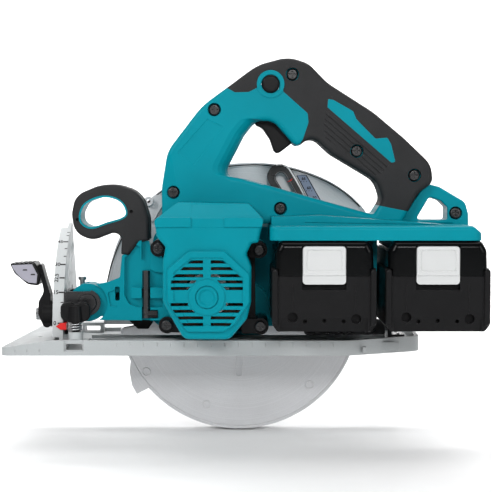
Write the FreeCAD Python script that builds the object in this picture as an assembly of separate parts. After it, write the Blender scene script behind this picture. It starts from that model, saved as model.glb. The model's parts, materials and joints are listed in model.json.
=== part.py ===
"""Cordless rear-handle circular saw with two slide-in battery packs, as an assembly of separate pieces.

Millimetres, +Z up. The origin lies on the underside of the base, straight below the blade's axle and in the
blade's own plane. -X is the cutting direction (the front), -Y is the motor side and +Y the blade side.
The saw stands at full cutting depth and square to the base, with its lower guard closed.
"""

import FreeCAD, Part  # FreeCAD has to come before Part
import math
import os

V = FreeCAD.Vector

# ---- driving dimensions --------------------------------------------------------------------------
BLADE_R = 92.5  # 185 mm blade
CUT_DEPTH = 66.5
ARBOR_Z = BLADE_R - CUT_DEPTH  # height of the blade's axle above the work
GEAR_MODULE = 1.0
GEAR_TEETH = 44
PINION_TEETH = 16
GEAR_CENTRES = GEAR_MODULE * (GEAR_TEETH + PINION_TEETH) / 2
GEAR_LINE_DEG = 137.16  # direction from the blade's axle to the motor shaft
MOTOR_X = GEAR_CENTRES * math.cos(math.radians(GEAR_LINE_DEG))
MOTOR_Z = ARBOR_Z + GEAR_CENTRES * math.sin(math.radians(GEAR_LINE_DEG))

BASE_FRONT, BASE_REAR = -176.0, 140.0
BASE_LEFT, BASE_RIGHT = -104.0, 38.0
BASE_PLATE = 3.0
BASE_RIM = 11.3
OPEN_X = (-114.0, 112.0)  # the opening that the blade and guard pass through
OPEN_Y = (-37.0, 14.0)

TILT_Z = 10.0  # height of the bevel axis, which runs along X in the blade's plane
QUAD_R = 90.0  # outside of the bevel quadrant
QUAD_SLOT_R = 72.3
CLAMP_DEG = 14.4  # place of the clamp bolt above the -Y direction, about the bevel axis
TILT_TRAVEL_DEG = 53.0
DEPTH_X, DEPTH_Z = -113.0, 37.6  # axis of the depth adjustment
GUIDE_R = 173.5  # depth guide's slot, about that axis
GUIDE_REST_DEG = -2.0  # the clamp bolt's place on it at full depth
GUIDE_TRAVEL_DEG = 34.0
GUIDE_SLOT_HALF = 3.9

WALL_L = -15.0  # outside of the blade case, motor side
WALL_R = 15.5
GUARD_R = 97.0

HANDLE_Y = -72.0  # joint between the two handle halves
HANDLE_HALF = 20.0
DECK_Y = (-148.0, -30.0)
DECK_Z = (87.0, 97.0)
DECK_X = (22.5, 172.5)

PACK_W, PACK_H, PACK_L = 75.0, 64.5, 112.0
PACK_FACE_Y = -150.0
PACK_X = (60.8, 140.8)  # middles of the two packs
PACK_GAP = 0.4  # running gap of a pack's rail

MOTOR_FACE_Y = -140.0
MOTOR_BACK_Y = -62.0
FIT = 0.3  # clearance between pieces that move past each other

parts = {}


# ---- helpers -------------------------------------------------------------------------------------
def place(plane, u, v, level):
    """A point from two coordinates in the named plane and its level along the third axis."""
    return {"xz": V(u, level, v), "yz": V(level, u, v), "xy": V(u, v, level)}[plane]


NORMAL = {"xz": V(0, 1, 0), "yz": V(1, 0, 0), "xy": V(0, 0, 1)}


def outline(corners, plane, level):
    """A closed wire through corners (u, v) or (u, v, radius), with a tangent arc at each radius."""
    n = len(corners)
    pts = [(c[0], c[1], c[2] if len(c) > 2 else 0.0) for c in corners]
    ends = []
    for i, (u, v, r) in enumerate(pts):
        a, b = pts[i - 1], pts[(i + 1) % n]
        back = FreeCAD.Vector(a[0] - u, a[1] - v, 0)
        fore = FreeCAD.Vector(b[0] - u, b[1] - v, 0)
        here = FreeCAD.Vector(u, v, 0)
        if r <= 0:
            ends.append((here, None, here))
            continue
        la, lb = back.Length, fore.Length
        back.normalize()
        fore.normalize()
        half = math.acos(max(-1, min(1, back.dot(fore)))) / 2
        reach = min(r / math.tan(half), 0.49 * la, 0.49 * lb)
        radius = reach * math.tan(half)
        middle = here + (back + fore).normalize() * (radius / math.sin(half))
        crown = middle + (here - middle).normalize() * radius
        ends.append((here + back * reach, crown, here + fore * reach))
    edges = []
    for i, (start, crown, end) in enumerate(ends):
        if crown is not None:
            three = [place(plane, p.x, p.y, level) for p in (start, crown, end)]
            edges.append(Part.Arc(*three).toShape())
        nxt = ends[(i + 1) % n][0]
        if (nxt - end).Length > 1e-6:
            edges.append(
                Part.makeLine(place(plane, end.x, end.y, level), place(plane, nxt.x, nxt.y, level))
            )
    return Part.Wire(Part.__sortEdges__(edges))


def slab(corners, plane, a, b):
    """A flat outline drawn out from level a to level b along its plane's normal."""
    return Part.Face(outline(corners, plane, a)).extrude(NORMAL[plane] * (b - a))


def box(x, y, z):
    return Part.makeBox(x[1] - x[0], y[1] - y[0], z[1] - z[0], V(x[0], y[0], z[0]))


def rod_x(y, z, r, a, b):
    return Part.makeCylinder(r, b - a, V(a, y, z), V(1, 0, 0))


def rod_y(x, z, r, a, b):
    return Part.makeCylinder(r, b - a, V(x, a, z), V(0, 1, 0))


def rod_z(x, y, r, a, b):
    return Part.makeCylinder(r, b - a, V(x, y, a), V(0, 0, 1))


def ring_y(x, z, outer, inner, a, b):
    return rod_y(x, z, outer, a, b).cut(rod_y(x, z, inner, a - 1, b + 1))


def fuse(*shapes):
    whole = shapes[0]
    for s in shapes[1:]:
        whole = whole.fuse(s)
    return whole.removeSplitter()


def on_level(shape, axis, level, tol=0.01):
    """The edges of a shape that lie wholly at one level of an axis."""
    found = []
    for e in shape.Edges:
        b = e.BoundBox
        low, high = {"x": (b.XMin, b.XMax), "y": (b.YMin, b.YMax), "z": (b.ZMin, b.ZMax)}[axis]
        if abs(low - level) < tol and abs(high - level) < tol:
            found.append(e)
    return found


def soften(shape, edges, *radii):
    """Fillets edges at the largest of the radii that the shape takes."""
    for r in radii:
        try:
            done = shape.makeFillet(r, edges)
            if done.isValid() and done.Volume > 0:
                return done
        except Exception:
            continue
    print("no fillet taken of", radii)
    return shape


def polar(r, degrees, cx=0.0, cz=ARBOR_Z):
    a = math.radians(degrees)
    return cx + r * math.cos(a), cz + r * math.sin(a)


def about_y(shape, degrees, x=0.0, z=ARBOR_Z):
    """Turned about a Y axis so that a positive angle raises the rear."""
    done = shape.copy()
    done.rotate(V(x, 0, z), V(0, -1, 0), degrees)
    return done


def sector(r0, r1, a0, a1, y0, y1, cx=0.0, cz=ARBOR_Z):
    """A ring sector in the XZ plane, from angle a0 up to a1."""
    mid = (a0 + a1) / 2

    def p(r, a):
        x, z = polar(r, a, cx, cz)
        return V(x, y0, z)

    edges = [
        Part.Arc(p(r1, a0), p(r1, mid), p(r1, a1)).toShape(),
        Part.makeLine(p(r1, a1), p(r0, a1)),
        Part.Arc(p(r0, a1), p(r0, mid), p(r0, a0)).toShape(),
        Part.makeLine(p(r0, a0), p(r1, a0)),
    ]
    return Part.Face(Part.Wire(edges)).extrude(V(0, y1 - y0, 0))


def screw_y(x, z, tip, seat, head_r=4.2, head_h=3.2, shank_r=2.0):
    """A pan-head screw along Y that points from its seat towards +Y; its head stands out on the -Y side."""
    head = rod_y(x, z, head_r, seat - head_h, seat)
    head = soften(head, on_level(head, "y", seat - head_h), 1.2, 0.6)
    cross = fuse(
        box((x - 2.6, x + 2.6), (seat - head_h - 1, seat - head_h + 1.6), (z - 0.6, z + 0.6)),
        box((x - 0.6, x + 0.6), (seat - head_h - 1, seat - head_h + 1.6), (z - 2.6, z + 2.6)),
    )
    return fuse(head, rod_y(x, z, shank_r, seat, tip)).cut(cross)


def put(name, shape):
    solids = shape.Solids
    parts[name] = solids[0] if len(solids) == 1 else Part.makeCompound(solids)
    state = "ok" if all(s.isValid() and s.Volume > 0 for s in solids) and solids else "BAD"
    if state == "BAD":
        print(name, state, len(solids))
    return parts[name]


# ---- base ----------------------------------------------------------------------------------------
SLOT_X = (-127.4, -115.0)  # passage for a fence's bar
SLOT_Z = (4.0, 8.6)
FENCE_X, FENCE_Y = -120.5, -98.6
RAMP_X = -137.0  # end of the sloping nose
SCREW_X, SCREW_Y = (-152.0, 126.0), (-60.0, 22.0)  # holes for screwing on a sub-base
SCREW_HOLE_R, SCREW_PAD_R = 2.2, 5.5


def base_plate():
    left, right, front, rear = BASE_LEFT, BASE_RIGHT, BASE_FRONT, BASE_REAR
    outside = [(front, left, 6), (82, left, 30), (rear - 3, -75, 13), (rear, right, 7), (-165, right, 7)]
    inside = [(front + 3, left + 3, 4), (81, left + 3, 27), (rear - 6, -73, 10), (rear - 3, right - 3, 4),
              (-162, right - 3, 4)]
    tray = slab(outside, "xy", 0, BASE_RIM).cut(slab(inside, "xy", BASE_PLATE, BASE_RIM + 1))
    nose = slab([(front, 0), (front, 5.6), (RAMP_X - 2, BASE_RIM), (RAMP_X, BASE_RIM), (RAMP_X, 0)],
                "xz", left + 1, right - 1)
    nose = nose.common(slab(outside, "xy", 0, BASE_RIM))
    tray = tray.fuse(nose)
    tray = tray.cut(slab([(front - 9, 4.4), (RAMP_X - 2, BASE_RIM), (RAMP_X - 2, 30), (front - 9, 30)],
                         "xz", left - 5, right + 5))
    tray = tray.cut(slab([(front - 5, -1), (front + 3, -1), (front - 5, 4)], "xz", left - 5, right + 5))
    for y in (left + 6, left + 41, left + 76, left + 108):
        tray = tray.cut(slab([(front + 12, -1), (front + 12, 3), (RAMP_X - 4, 8), (RAMP_X - 4, -1)],
                             "xz", y, y + 27 if y < right - 30 else right - 6))
    tray = tray.cut(box((-200, 200), (right - 4, right + 1), (6, 20)))
    for y, high in ((left + 13, 8.5), (left + 32, 9.0), (left + 50, 7.0)):
        tray = tray.fuse(box((SLOT_X[1] + 1, 120), (y, y + 2.4), (BASE_PLATE - 1, high)))
    for x in (-92, -30, 32, 92):
        tray = tray.fuse(box((x, x + 2.4), (left + 2, OPEN_Y[0]), (BASE_PLATE - 1, 6.0)))
    tray = tray.fuse(box((OPEN_X[0] - 2.5, OPEN_X[1] + 2.5), (OPEN_Y[0] - 2.5, OPEN_Y[0] + 1), (1, 8.0)))
    tray = tray.cut(slab([(OPEN_X[0], OPEN_Y[0], 5), (OPEN_X[1], OPEN_Y[0], 5), (OPEN_X[1], OPEN_Y[1], 2),
                          (OPEN_X[0], OPEN_Y[1], 5)], "xy", -1, 20))
    near = box((QUAD_X[1] + FIT, SLOT_X[1] + 4), (left, left + 17), (0, BASE_RIM))
    far = box((SLOT_X[0] - 3, SLOT_X[1] + 3), (right - 14, right - 1), (0, BASE_RIM))
    tray = tray.cut(box((SLOT_X[0] - 6, SLOT_X[1] + 2), (left + 17, OPEN_Y[0] - 3), (BASE_PLATE, 12)))
    tray = tray.fuse(near).fuse(far).fuse(rod_z(FENCE_X, FENCE_Y, 5.4, 5, 17.2))
    tray = tray.cut(box(SLOT_X, (left - 1, right + 1), SLOT_Z))
    tray = tray.cut(rod_z(FENCE_X, FENCE_Y, 3.0, SLOT_Z[1] - 1, 18))
    tray = tray.cut(box((SLOT_X[0] - 1.2, SLOT_X[1] + 1.2), (left - 1, left + 1.6),
                        (SLOT_Z[0] - 1, BASE_RIM + 1)))
    for y in SCREW_Y:
        tray = tray.fuse(rod_z(SCREW_X[0], y, SCREW_PAD_R, 0, 6))
    for x in SCREW_X:
        for y in SCREW_Y:
            tray = tray.cut(rod_z(x, y, SCREW_HOLE_R, -1, 20))
    for x, y in QUAD_RIVETS + REAR_RIVETS:
        tray = tray.cut(rod_z(x, y, 0.9, -1, 20))
    for x in range(-165, -138, 9):
        tray = tray.cut(box((x, x + 0.5), (left - 1, left + 0.4), (2.0, 4.5)))
    for x in range(-90, 80, 10):
        tray = tray.cut(box((x, x + 0.5), (left - 1, left + 0.4), (7.0, 9.5)))
    return tray.removeSplitter()


QUAD_X = (-134.0, -131.0)
QUAD_RIVETS = [(-135.5, -66.0), (-135.5, -46.0), (-135.5, -26.0)]
REAR_RIVETS = [(128.0, -9.0), (128.0, 9.0)]
BRACKET_X = (-130.6, -127.9)
REAR_EAR_X = (119.4, 122.4)
GUIDE_Y = (-24.0, -21.0)
GUIDE_TAB_X = (113.0, 116.0)
PIN_R = 3.0
PIN_FIT = 0.06


def about_x(shape, degrees):
    """Turned about the bevel axis; a positive angle leans the top towards the blade side."""
    done = shape.copy()
    done.rotate(V(0, 0, TILT_Z), V(-1, 0, 0), degrees)
    return done


def arc_x(r0, r1, a0, a1, x0, x1):
    """Ring sector about the bevel axis; angles rise from the -Y direction."""
    def p(r, a):
        t = math.radians(a)
        return V(x0, -r * math.cos(t), TILT_Z + r * math.sin(t))
    mid = (a0 + a1) / 2
    edges = [
        Part.Arc(p(r1, a0), p(r1, mid), p(r1, a1)).toShape(),
        Part.makeLine(p(r1, a1), p(r0, a1)),
        Part.Arc(p(r0, a1), p(r0, mid), p(r0, a0)).toShape(),
        Part.makeLine(p(r0, a0), p(r1, a0)),
    ]
    return Part.Face(Part.Wire(edges)).extrude(V(x1 - x0, 0, 0))


def slot_x(r, half, a0, a1, x0, x1):
    """An arc slot about the bevel axis with round ends."""
    whole = arc_x(r - half, r + half, a0, a1, x0, x1)
    for a in (a0, a1):
        t = math.radians(a)
        whole = whole.fuse(rod_x(-r * math.cos(t), TILT_Z + r * math.sin(t), half, x0, x1))
    return whole


def slot_y(r, half, a0, a1, y0, y1, cx=DEPTH_X, cz=DEPTH_Z):
    """An arc slot in the XZ plane with round ends."""
    whole = sector(r - half, r + half, a0, a1, y0, y1, cx, cz)
    for a in (a0, a1):
        x, z = polar(r, a, cx, cz)
        whole = whole.fuse(rod_y(x, z, half, y0, y1))
    return whole


BEVEL_MARKS = [0, 5, 10, 15, 22.5, 30, 35, 40, 45, 50, 53]
ZERO_DEG = 8.0  # place of the scale's nought


def bevel_quadrant():
    x0, x1 = QUAD_X
    plate = rod_x(0, TILT_Z, QUAD_R, x0, x1)
    plate = plate.common(slab([(-100, 3), (-100, 60), (-60, 110), (-31, 110), (-24, 88, 8), (10, 17, 7),
                               (10, 3)],
                              "yz", x0 - 1, x1 + 1))
    band = arc_x(QUAD_R - 3.5, QUAD_R, 1.3, 66, -139.0, x1)
    foot = box((-137.0, x1), (-78, -14), (3, 5.6))
    whole = fuse(plate, band, foot)
    whole = whole.cut(slot_x(QUAD_SLOT_R, 3.6, CLAMP_DEG - 1, CLAMP_DEG + TILT_TRAVEL_DEG + 1, x0 - 1,
                             x1 + 1))
    window = slab([(-57, 13, 3), (-22, 13, 5), (-14, 22, 5), (-33, 52, 6), (-46, 36, 6)], "yz", x0 - 1,
                  x1 + 1)
    whole = whole.cut(window).cut(rod_x(0, TILT_Z, PIN_R, x0 - 1, x1 + 1))
    for x, y in QUAD_RIVETS:
        whole = whole.cut(rod_z(x, y, 0.9, 0, 9))
    for mark in BEVEL_MARKS:
        long = mark in (0, 15, 22.5, 30, 45)
        groove = box((-135.2 if long else -133.4, x1 + 1), (-QUAD_R - 1, -QUAD_R + 0.35),
                     (TILT_Z - (0.45 if long else 0.25), TILT_Z + (0.45 if long else 0.25)))
        whole = whole.cut(about_x(groove, ZERO_DEG + mark))
    return whole.removeSplitter()


def rivets(places, top):
    whole = []
    for x, y in places:
        head = Part.makeCone(1.4, 1.1, 0.9, V(x, y, top))
        whole.append(head.fuse(rod_z(x, y, 0.9, 0.4, top)))
    return Part.makeCompound(whole)


def rear_bracket():
    x0, x1 = REAR_EAR_X
    ear = slab([(-13, 3), (-13, 9, 3), (-7, 16.8, 6.6), (7, 16.8, 6.6), (13, 9, 3), (13, 3)], "yz", x0, x1)
    whole = ear.fuse(box((x0, 133), (-13, 13), (3, 5.6)))
    whole = whole.cut(rod_x(0, TILT_Z, PIN_R, x0 - 1, x1 + 1))
    for x, y in REAR_RIVETS:
        whole = whole.cut(rod_z(x, y, 0.9, 0, 9))
    return whole.removeSplitter()


put("base_plate", base_plate())
put("bevel_quadrant", bevel_quadrant())
put("rear_pivot_bracket", rear_bracket())
put("base_rivets", rivets(QUAD_RIVETS + REAR_RIVETS, 5.6))
put("bevel_pivot_pins", Part.makeCompound([
    fuse(rod_x(0, TILT_Z, 4.2, QUAD_X[0] - 2.0, QUAD_X[0]),
         rod_x(0, TILT_Z, PIN_R, QUAD_X[0], BRACKET_X[1] + 0.8)),
    fuse(rod_x(0, TILT_Z, 4.2, REAR_EAR_X[1], REAR_EAR_X[1] + 2),
         rod_x(0, TILT_Z, PIN_R, GUIDE_TAB_X[0] - 0.8, REAR_EAR_X[1]))]))

# fence screw: a wing knob on a threaded stem, with a spring that keeps it from rattling loose
knob = slab([(-11, 25, 5), (-11, 38.6, 6), (-3.2, 39.7, 3), (0, 37.4, 4), (3.2, 39.7, 3), (11, 38.6, 6),
             (11, 25, 5)],
            "xz", -2.4, 2.4)
knob = soften(knob, on_level(knob, "y", -2.4) + on_level(knob, "y", 2.4), 1.6, 1.0)
knob = knob.fuse(Part.makeCone(6.2, 5.0, 12, V(0, 0, 24.5)))
knob = knob.fuse(Part.makeCone(4.6, 3.3, 9.5, V(0, 0, 28)))
knob.translate(V(FENCE_X, FENCE_Y, 0))
STEM_R = 2.92
put("fence_screw", fuse(knob, rod_z(FENCE_X, FENCE_Y, STEM_R, 8.9, 34)))
coil = Part.makeHelix(1.9, 5.8, 4.2)
coil.translate(V(FENCE_X, FENCE_Y, 17.85))
ring_wire = Part.Wire(Part.makeCircle(0.5, V(FENCE_X + 4.2, FENCE_Y, 17.85), V(0, 1, 0.07)))
put("fence_spring", Part.Wire(coil).makePipeShell([ring_wire], True, True))

# ---- bevel frame ---------------------------------------------------------------------------------
CLEVIS_Y = (-86.0, -83.0)
CLEVIS_FAR_Y = (-59.6, -56.6)
CLAMP_Y = -QUAD_SLOT_R * math.cos(math.radians(CLAMP_DEG))
CLAMP_Z = TILT_Z + QUAD_SLOT_R * math.sin(math.radians(CLAMP_DEG))
DEPTH_PIN_R = 4.0


def front_bracket():
    x0, x1 = BRACKET_X
    plate = slab([(6.4, 3.8, 6.2), (6.4, 17, 6.2), (-22, 24, 6), (-52, 46, 6), (-86, 46, 3), (-86, 18, 4),
                  (-80, 13.0, 4),
                  (-10, 12.2, 4), (-6, 3.8, 4)], "yz", x0, x1)
    for y0, y1 in (CLEVIS_Y, CLEVIS_FAR_Y):
        ear = box((x0, DEPTH_X), (y0, y1), (28, 47.2)).fuse(rod_y(DEPTH_X, DEPTH_Z, 9.6, y0, y1))
        ear = ear.fuse(slab([(x0, 21), (x0, 30), (-116, 30)], "xz", y0, y1))
        plate = plate.fuse(ear)
    plate = plate.cut(box((x0 - 1, x0 + 20), (-100, -50), (46.0, 60)))
    plate = plate.fuse(box((x1 - 0.5, -117.5), (-50, -40), (36.5, 39.5))).cut(
        rod_z(-121.5, -45, 2.0, 30, 45))
    plate = plate.cut(rod_x(0, TILT_Z, PIN_R + PIN_FIT, x0 - 1, x1 + 1))
    plate = plate.cut(rod_x(CLAMP_Y, CLAMP_Z, 3.0, x0 - 1, x1 + 1))
    plate = plate.cut(rod_y(DEPTH_X, DEPTH_Z, DEPTH_PIN_R, -100, -50))
    return plate.removeSplitter()


def depth_guide():
    y0, y1 = GUIDE_Y
    arc = sector(GUIDE_R - 10, GUIDE_R + 10.5, -6, 33, y0, y1, DEPTH_X, DEPTH_Z)
    x, z = polar(GUIDE_R, 33, DEPTH_X, DEPTH_Z)
    arc = arc.fuse(rod_y(x, z, 10.0, y0, y1))
    foot = slab([(50, 20), (52, 6, 4), (GUIDE_TAB_X[1], 6), (GUIDE_TAB_X[1], 18, 3), (82, 24, 20),
                 (71, 34)],
                "xz", y0, y1)
    tab = slab([(y0, 6), (y0, 18, 3), (-9, 18, 4), (-4, 16.8, 5), (7, 16.8, 6.6), (7, 3.4, 6.6),
                (-7, 3.4, 5),
                (-10, 6, 3)], "yz", *GUIDE_TAB_X)
    whole = fuse(arc, foot, tab)
    slot = slot_y(GUIDE_R, GUIDE_SLOT_HALF, GUIDE_REST_DEG - 0.6, GUIDE_REST_DEG + GUIDE_TRAVEL_DEG + 0.6,
                  y0 - 1, y1 + 1)
    whole = whole.cut(slot).cut(rod_x(0, TILT_Z, PIN_R + PIN_FIT, GUIDE_TAB_X[0] - 1, GUIDE_TAB_X[1] + 1))
    for a in range(0, 31, 5):
        tick = box((GUIDE_R + 6.5, GUIDE_R + 11), (y0 - 1, y0 + 0.3), (-0.3, 0.3))
        tick.translate(V(DEPTH_X, 0, DEPTH_Z))
        whole = whole.cut(about_y(tick, a, DEPTH_X, DEPTH_Z))
    return whole.removeSplitter()


def hexagon(across, plane, u, v, a, b):
    r = across / math.sqrt(3)
    corners = [(u + r * math.cos(math.radians(60 * k)),
                v + r * math.sin(math.radians(60 * k))) for k in range(6)]
    return slab(corners, plane, a, b)


put("front_bracket", front_bracket())
put("depth_guide", depth_guide())
clamp_bolt = fuse(hexagon(10, "yz", CLAMP_Y, CLAMP_Z, BRACKET_X[1], BRACKET_X[1] + 4),
                  rod_x(CLAMP_Y, CLAMP_Z, 3.0, -150.5, BRACKET_X[1]))
clamp_nut = hexagon(9, "yz", CLAMP_Y, CLAMP_Z, -153.5,
                    -149.4).cut(rod_x(CLAMP_Y, CLAMP_Z, 3.0, -150.5, -120))
put("bevel_clamp_bolt", Part.makeCompound([clamp_bolt, clamp_nut]))
pointer = slab([(-136, 20.5), (-132.5, 18), (-128.2, 18), (-128.2, 23), (-132.5, 23)], "xz", -92.4, -91.0)
put("bevel_pointer", pointer.fuse(box((-130.4, -128.2), (-92.4, CLEVIS_Y[0]), (18, 23))))
pin = Part.makeCone(6.2, 7.0, 1.0, V(DEPTH_X, CLEVIS_Y[0] - 1.0, DEPTH_Z), V(0, 1, 0))
put("depth_pivot_pin", fuse(pin, rod_y(DEPTH_X, DEPTH_Z, DEPTH_PIN_R, CLEVIS_Y[0], CLEVIS_FAR_Y[1] + 2)))
put("bevel_stop_screw", fuse(rod_z(-121.5, -45, 2.0, 33.5, 52), hexagon(7, "xy", -121.5, -45, 39.5, 42.5),
                             rod_z(-121.5, -45, 3.2, 52, 54.5)))
hub = rod_x(CLAMP_Y, CLAMP_Z, 9.8, -148.0, QUAD_X[0] - FIT)
arm = slab([(-151.5, 66, 2), (-149, 55, 8), (-146.8, 45, 8), (-151, 38, 6), (-151.4, 28, 6), (-147, 18, 5),
            (-142, 18, 3), (-142, 43, 9), (-146.5, 58, 9), (-148.5, 66, 2)], "xz", CLAMP_Y - 7, CLAMP_Y + 7)
pad = slab([(-171.9, 66.9, 1.2), (-153, 68, 3), (-148.6, 58, 4), (-150, 50, 2), (-158.5, 51, 8),
            (-168.5, 59.4, 9)],
           "xz", CLAMP_Y - 12, CLAMP_Y + 11)
pad = soften(pad, on_level(pad, "y", CLAMP_Y - 12), 1.5, 0.8)
for k in range(5):
    x = -168.5 + 3.4 * k
    pad = pad.cut(box((x, x + 1.2), (CLAMP_Y - 13, CLAMP_Y + 12), (66.6, 70)))
nut_room = rod_x(CLAMP_Y, CLAMP_Z, 6.8, -160, -148.8)
lever = fuse(hub, arm, pad).cut(nut_room).cut(rod_x(CLAMP_Y, CLAMP_Z, 3.04, -160, -120))
put("bevel_lever", lever)

# ---- saw body: shapes of the outer housings ------------------------------------------------------
MOTOR_OUTLINE = [(-59.4, 101, 3), (-57.9, 89.3, 3), (-51.5, 82, 3), (-53.5, 71.9, 3), (-53.6, 43, 6),
                 (-47.8, 32.2, 6), (-38.5, 16.0, 7), (-6.0, 16.0, 7), (6.4, 30.7, 6), (9.4, 43, 6),
                 (9.6, 68, 4),
                 (6.0, 77, 3), (9.6, 84.5, 2), (14.5, 85, 2), (18.3, 101.5, 3), (7.8, 112.5, 4),
                 (-43.5, 113.5, 6)]
VENT_OUTLINE = [(-34.7, 79.3, 4), (-9.5, 79.3, 4), (8.4, 62.7, 4), (8.4, 42.6, 4), (-2.6, 26.7, 4),
                (-9.8, 21.7, 4), (-36.6, 21.7, 4), (-50.3, 43.3, 4), (-50.3, 66.3, 4)]
STATOR_R = 27.2
motor_fill = slab(MOTOR_OUTLINE, "xz", MOTOR_FACE_Y, MOTOR_BACK_Y)
motor_fill = soften(motor_fill, on_level(motor_fill, "y", MOTOR_FACE_Y), 3.0, 2.0, 1.2)
motor_fill = motor_fill.cut(slab([(MOTOR_FACE_Y - 1, 101.2), (MOTOR_FACE_Y - 1, 116),
                                  (MOTOR_FACE_Y + 14, 116)],
                                 "yz", -80, 40))
VENT_ROWS = (25.2, 20.4, 15.4, 11.0, 6.3, -5.1, -9.9, -14.6, -19.3)  # heights from the motor's axis
DECK_LOW = slab([(DECK_X[0], DECK_Y[0], 6), (DECK_X[1], DECK_Y[0], 8), (DECK_X[1], DECK_Y[1], 8),
                 (DECK_X[0], DECK_Y[1], 6)], "xy", *DECK_Z)
DECK_TOP = slab([(24, 96), (24, 103), (60, 104), (120, 99.6), (164, 96)], "xz", -128, -34)
# cut off the rear end's upper edge
DECK_END = slab([(161.5, 100.5), (176, 100.5), (176, 88.8)], "xz", -160, 0)
deck_fill = soften(DECK_LOW, on_level(DECK_LOW, "z", DECK_Z[1]), 2.5, 1.5).fuse(DECK_TOP).cut(DECK_END)


def around_motor(corners):
    """Corners given from the motor's axis, moved to where that axis is."""
    return [(MOTOR_X + c[0], MOTOR_Z + c[1], *c[2:]) for c in corners]


def vent_slots():
    """Level slots inside an eight-sided field, with the hub and a middle bar left standing."""
    field = slab(around_motor([(-10.5, 27.2), (10.5, 27.2), (25.4, 13.2), (25.6, -6.5), (15.5, -21.4),
                               (-16.0, -21.4), (-25.8, -6.5), (-25.4, 13.2)]),
                 "xz", MOTOR_FACE_Y - 6, MOTOR_FACE_Y + 3)
    hub = slab(around_motor([(-13.4, 5.5), (-6.2, 13.2), (6.2, 13.2), (13.4, 5.5), (13.4, -5.5),
                             (6.2, -13.2),
                             (-6.2, -13.2), (-13.4, -5.5)]), "xz", MOTOR_FACE_Y - 7, MOTOR_FACE_Y + 4)
    bars = [box((MOTOR_X - 30, MOTOR_X + 30), (MOTOR_FACE_Y - 6, MOTOR_FACE_Y + 3),
                (MOTOR_Z + rise - 1.15, MOTOR_Z + rise + 1.15)) for rise in VENT_ROWS]
    middle = box((MOTOR_X - 2.7, MOTOR_X + 2.7), (MOTOR_FACE_Y - 7, MOTOR_FACE_Y + 4),
                 (MOTOR_Z - 30, MOTOR_Z + 30))
    return Part.makeCompound(bars).common(field).cut(hub).cut(middle)


def motor_housing():
    whole = motor_fill
    # a band proud of the face under the sloping roof, both set back in the middle
    band = slab([(-60.0, 96, 1), (-60.0, 103.2, 1), (18.6, 103.2, 1), (18.6, 96, 1)], "xz",
                MOTOR_FACE_Y - 1.4, MOTOR_FACE_Y + 2)
    limit = slab([(-59.4, 101, 3), (-57.9, 89.3, 3), (14.5, 85, 2), (18.3, 101.5, 3), (15, 104),
                  (-56, 104)], "xz",
                 MOTOR_FACE_Y - 3, MOTOR_FACE_Y + 3)
    band = band.common(limit)
    band = soften(band, on_level(band, "y", MOTOR_FACE_Y - 1.4), 0.8, 0.4)
    whole = whole.fuse(band)
    whole = whole.cut(slab([(MOTOR_FACE_Y - 3, 95), (MOTOR_FACE_Y - 0.2, 95), (MOTOR_FACE_Y - 0.2, 102.2),
                            (MOTOR_FACE_Y + 10.6, 112.2), (MOTOR_FACE_Y + 10.6, 116),
                            (MOTOR_FACE_Y - 3, 116)],
                           "yz", -33.5, -9.4))
    vent_plate = slab(VENT_OUTLINE, "xz", MOTOR_FACE_Y - 3.0, MOTOR_FACE_Y + 4)
    vent_plate = soften(vent_plate, on_level(vent_plate, "y", MOTOR_FACE_Y - 3.0), 1.2, 0.8)
    field = Part.Face(outline(VENT_OUTLINE, "xz", MOTOR_FACE_Y - 4)).makeOffset2D(-4.6).extrude(V(0, 2.0,
                                                                                                  0))
    hub_disc = rod_y(MOTOR_X, MOTOR_Z, 12.6, MOTOR_FACE_Y - 3.0, MOTOR_FACE_Y)
    whole = whole.fuse(vent_plate.cut(field).fuse(hub_disc))
    whole = whole.cut(rod_y(MOTOR_X, MOTOR_Z, STATOR_R + 0.02, MOTOR_FACE_Y + 2.4, MOTOR_BACK_Y + 1))
    roof = slab([(-54, 92, 3), (-54, 98, 3), (-46, 100.5, 4), (8, 100.5, 4), (15, 98, 3), (12, 88, 2),
                 (-48, 88, 2)],
                "xz", MOTOR_FACE_Y + 2.4, MOTOR_BACK_Y + 1)
    whole = whole.cut(roof).cut(vent_slots())
    bearing_seat = ring_y(MOTOR_X, MOTOR_Z, 12.4, REAR_BEARING_R, MOTOR_FACE_Y + 1, MOTOR_FACE_Y + 11)
    whole = whole.fuse(bearing_seat)
    whole = whole.cut(ring_y(MOTOR_X, MOTOR_Z, 8.4, 7.6, MOTOR_FACE_Y - 4, MOTOR_FACE_Y - 1.8))
    dish = Part.makeCone(6.2, 4.6, 1.2, V(MOTOR_X, MOTOR_FACE_Y - 3.0, MOTOR_Z), V(0, 1, 0))
    whole = whole.cut(dish)
    for x, z in MOTOR_SCREWS:
        whole = whole.cut(rod_y(x, z, 4.8, MOTOR_FACE_Y - 5, MOTOR_SCREW_SEAT))
        whole = whole.cut(rod_y(x, z, 2.1, MOTOR_SCREW_SEAT - 1, MOTOR_BACK_Y + 1))
    return whole.removeSplitter()


REAR_BEARING_R = 9.5
MOTOR_SCREWS = [(-59.3, 78.7), (15.4, 77.4), (16.4, 20.5), (-53.2, 21.4)]
MOTOR_SCREW_SEAT = -92.0

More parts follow.
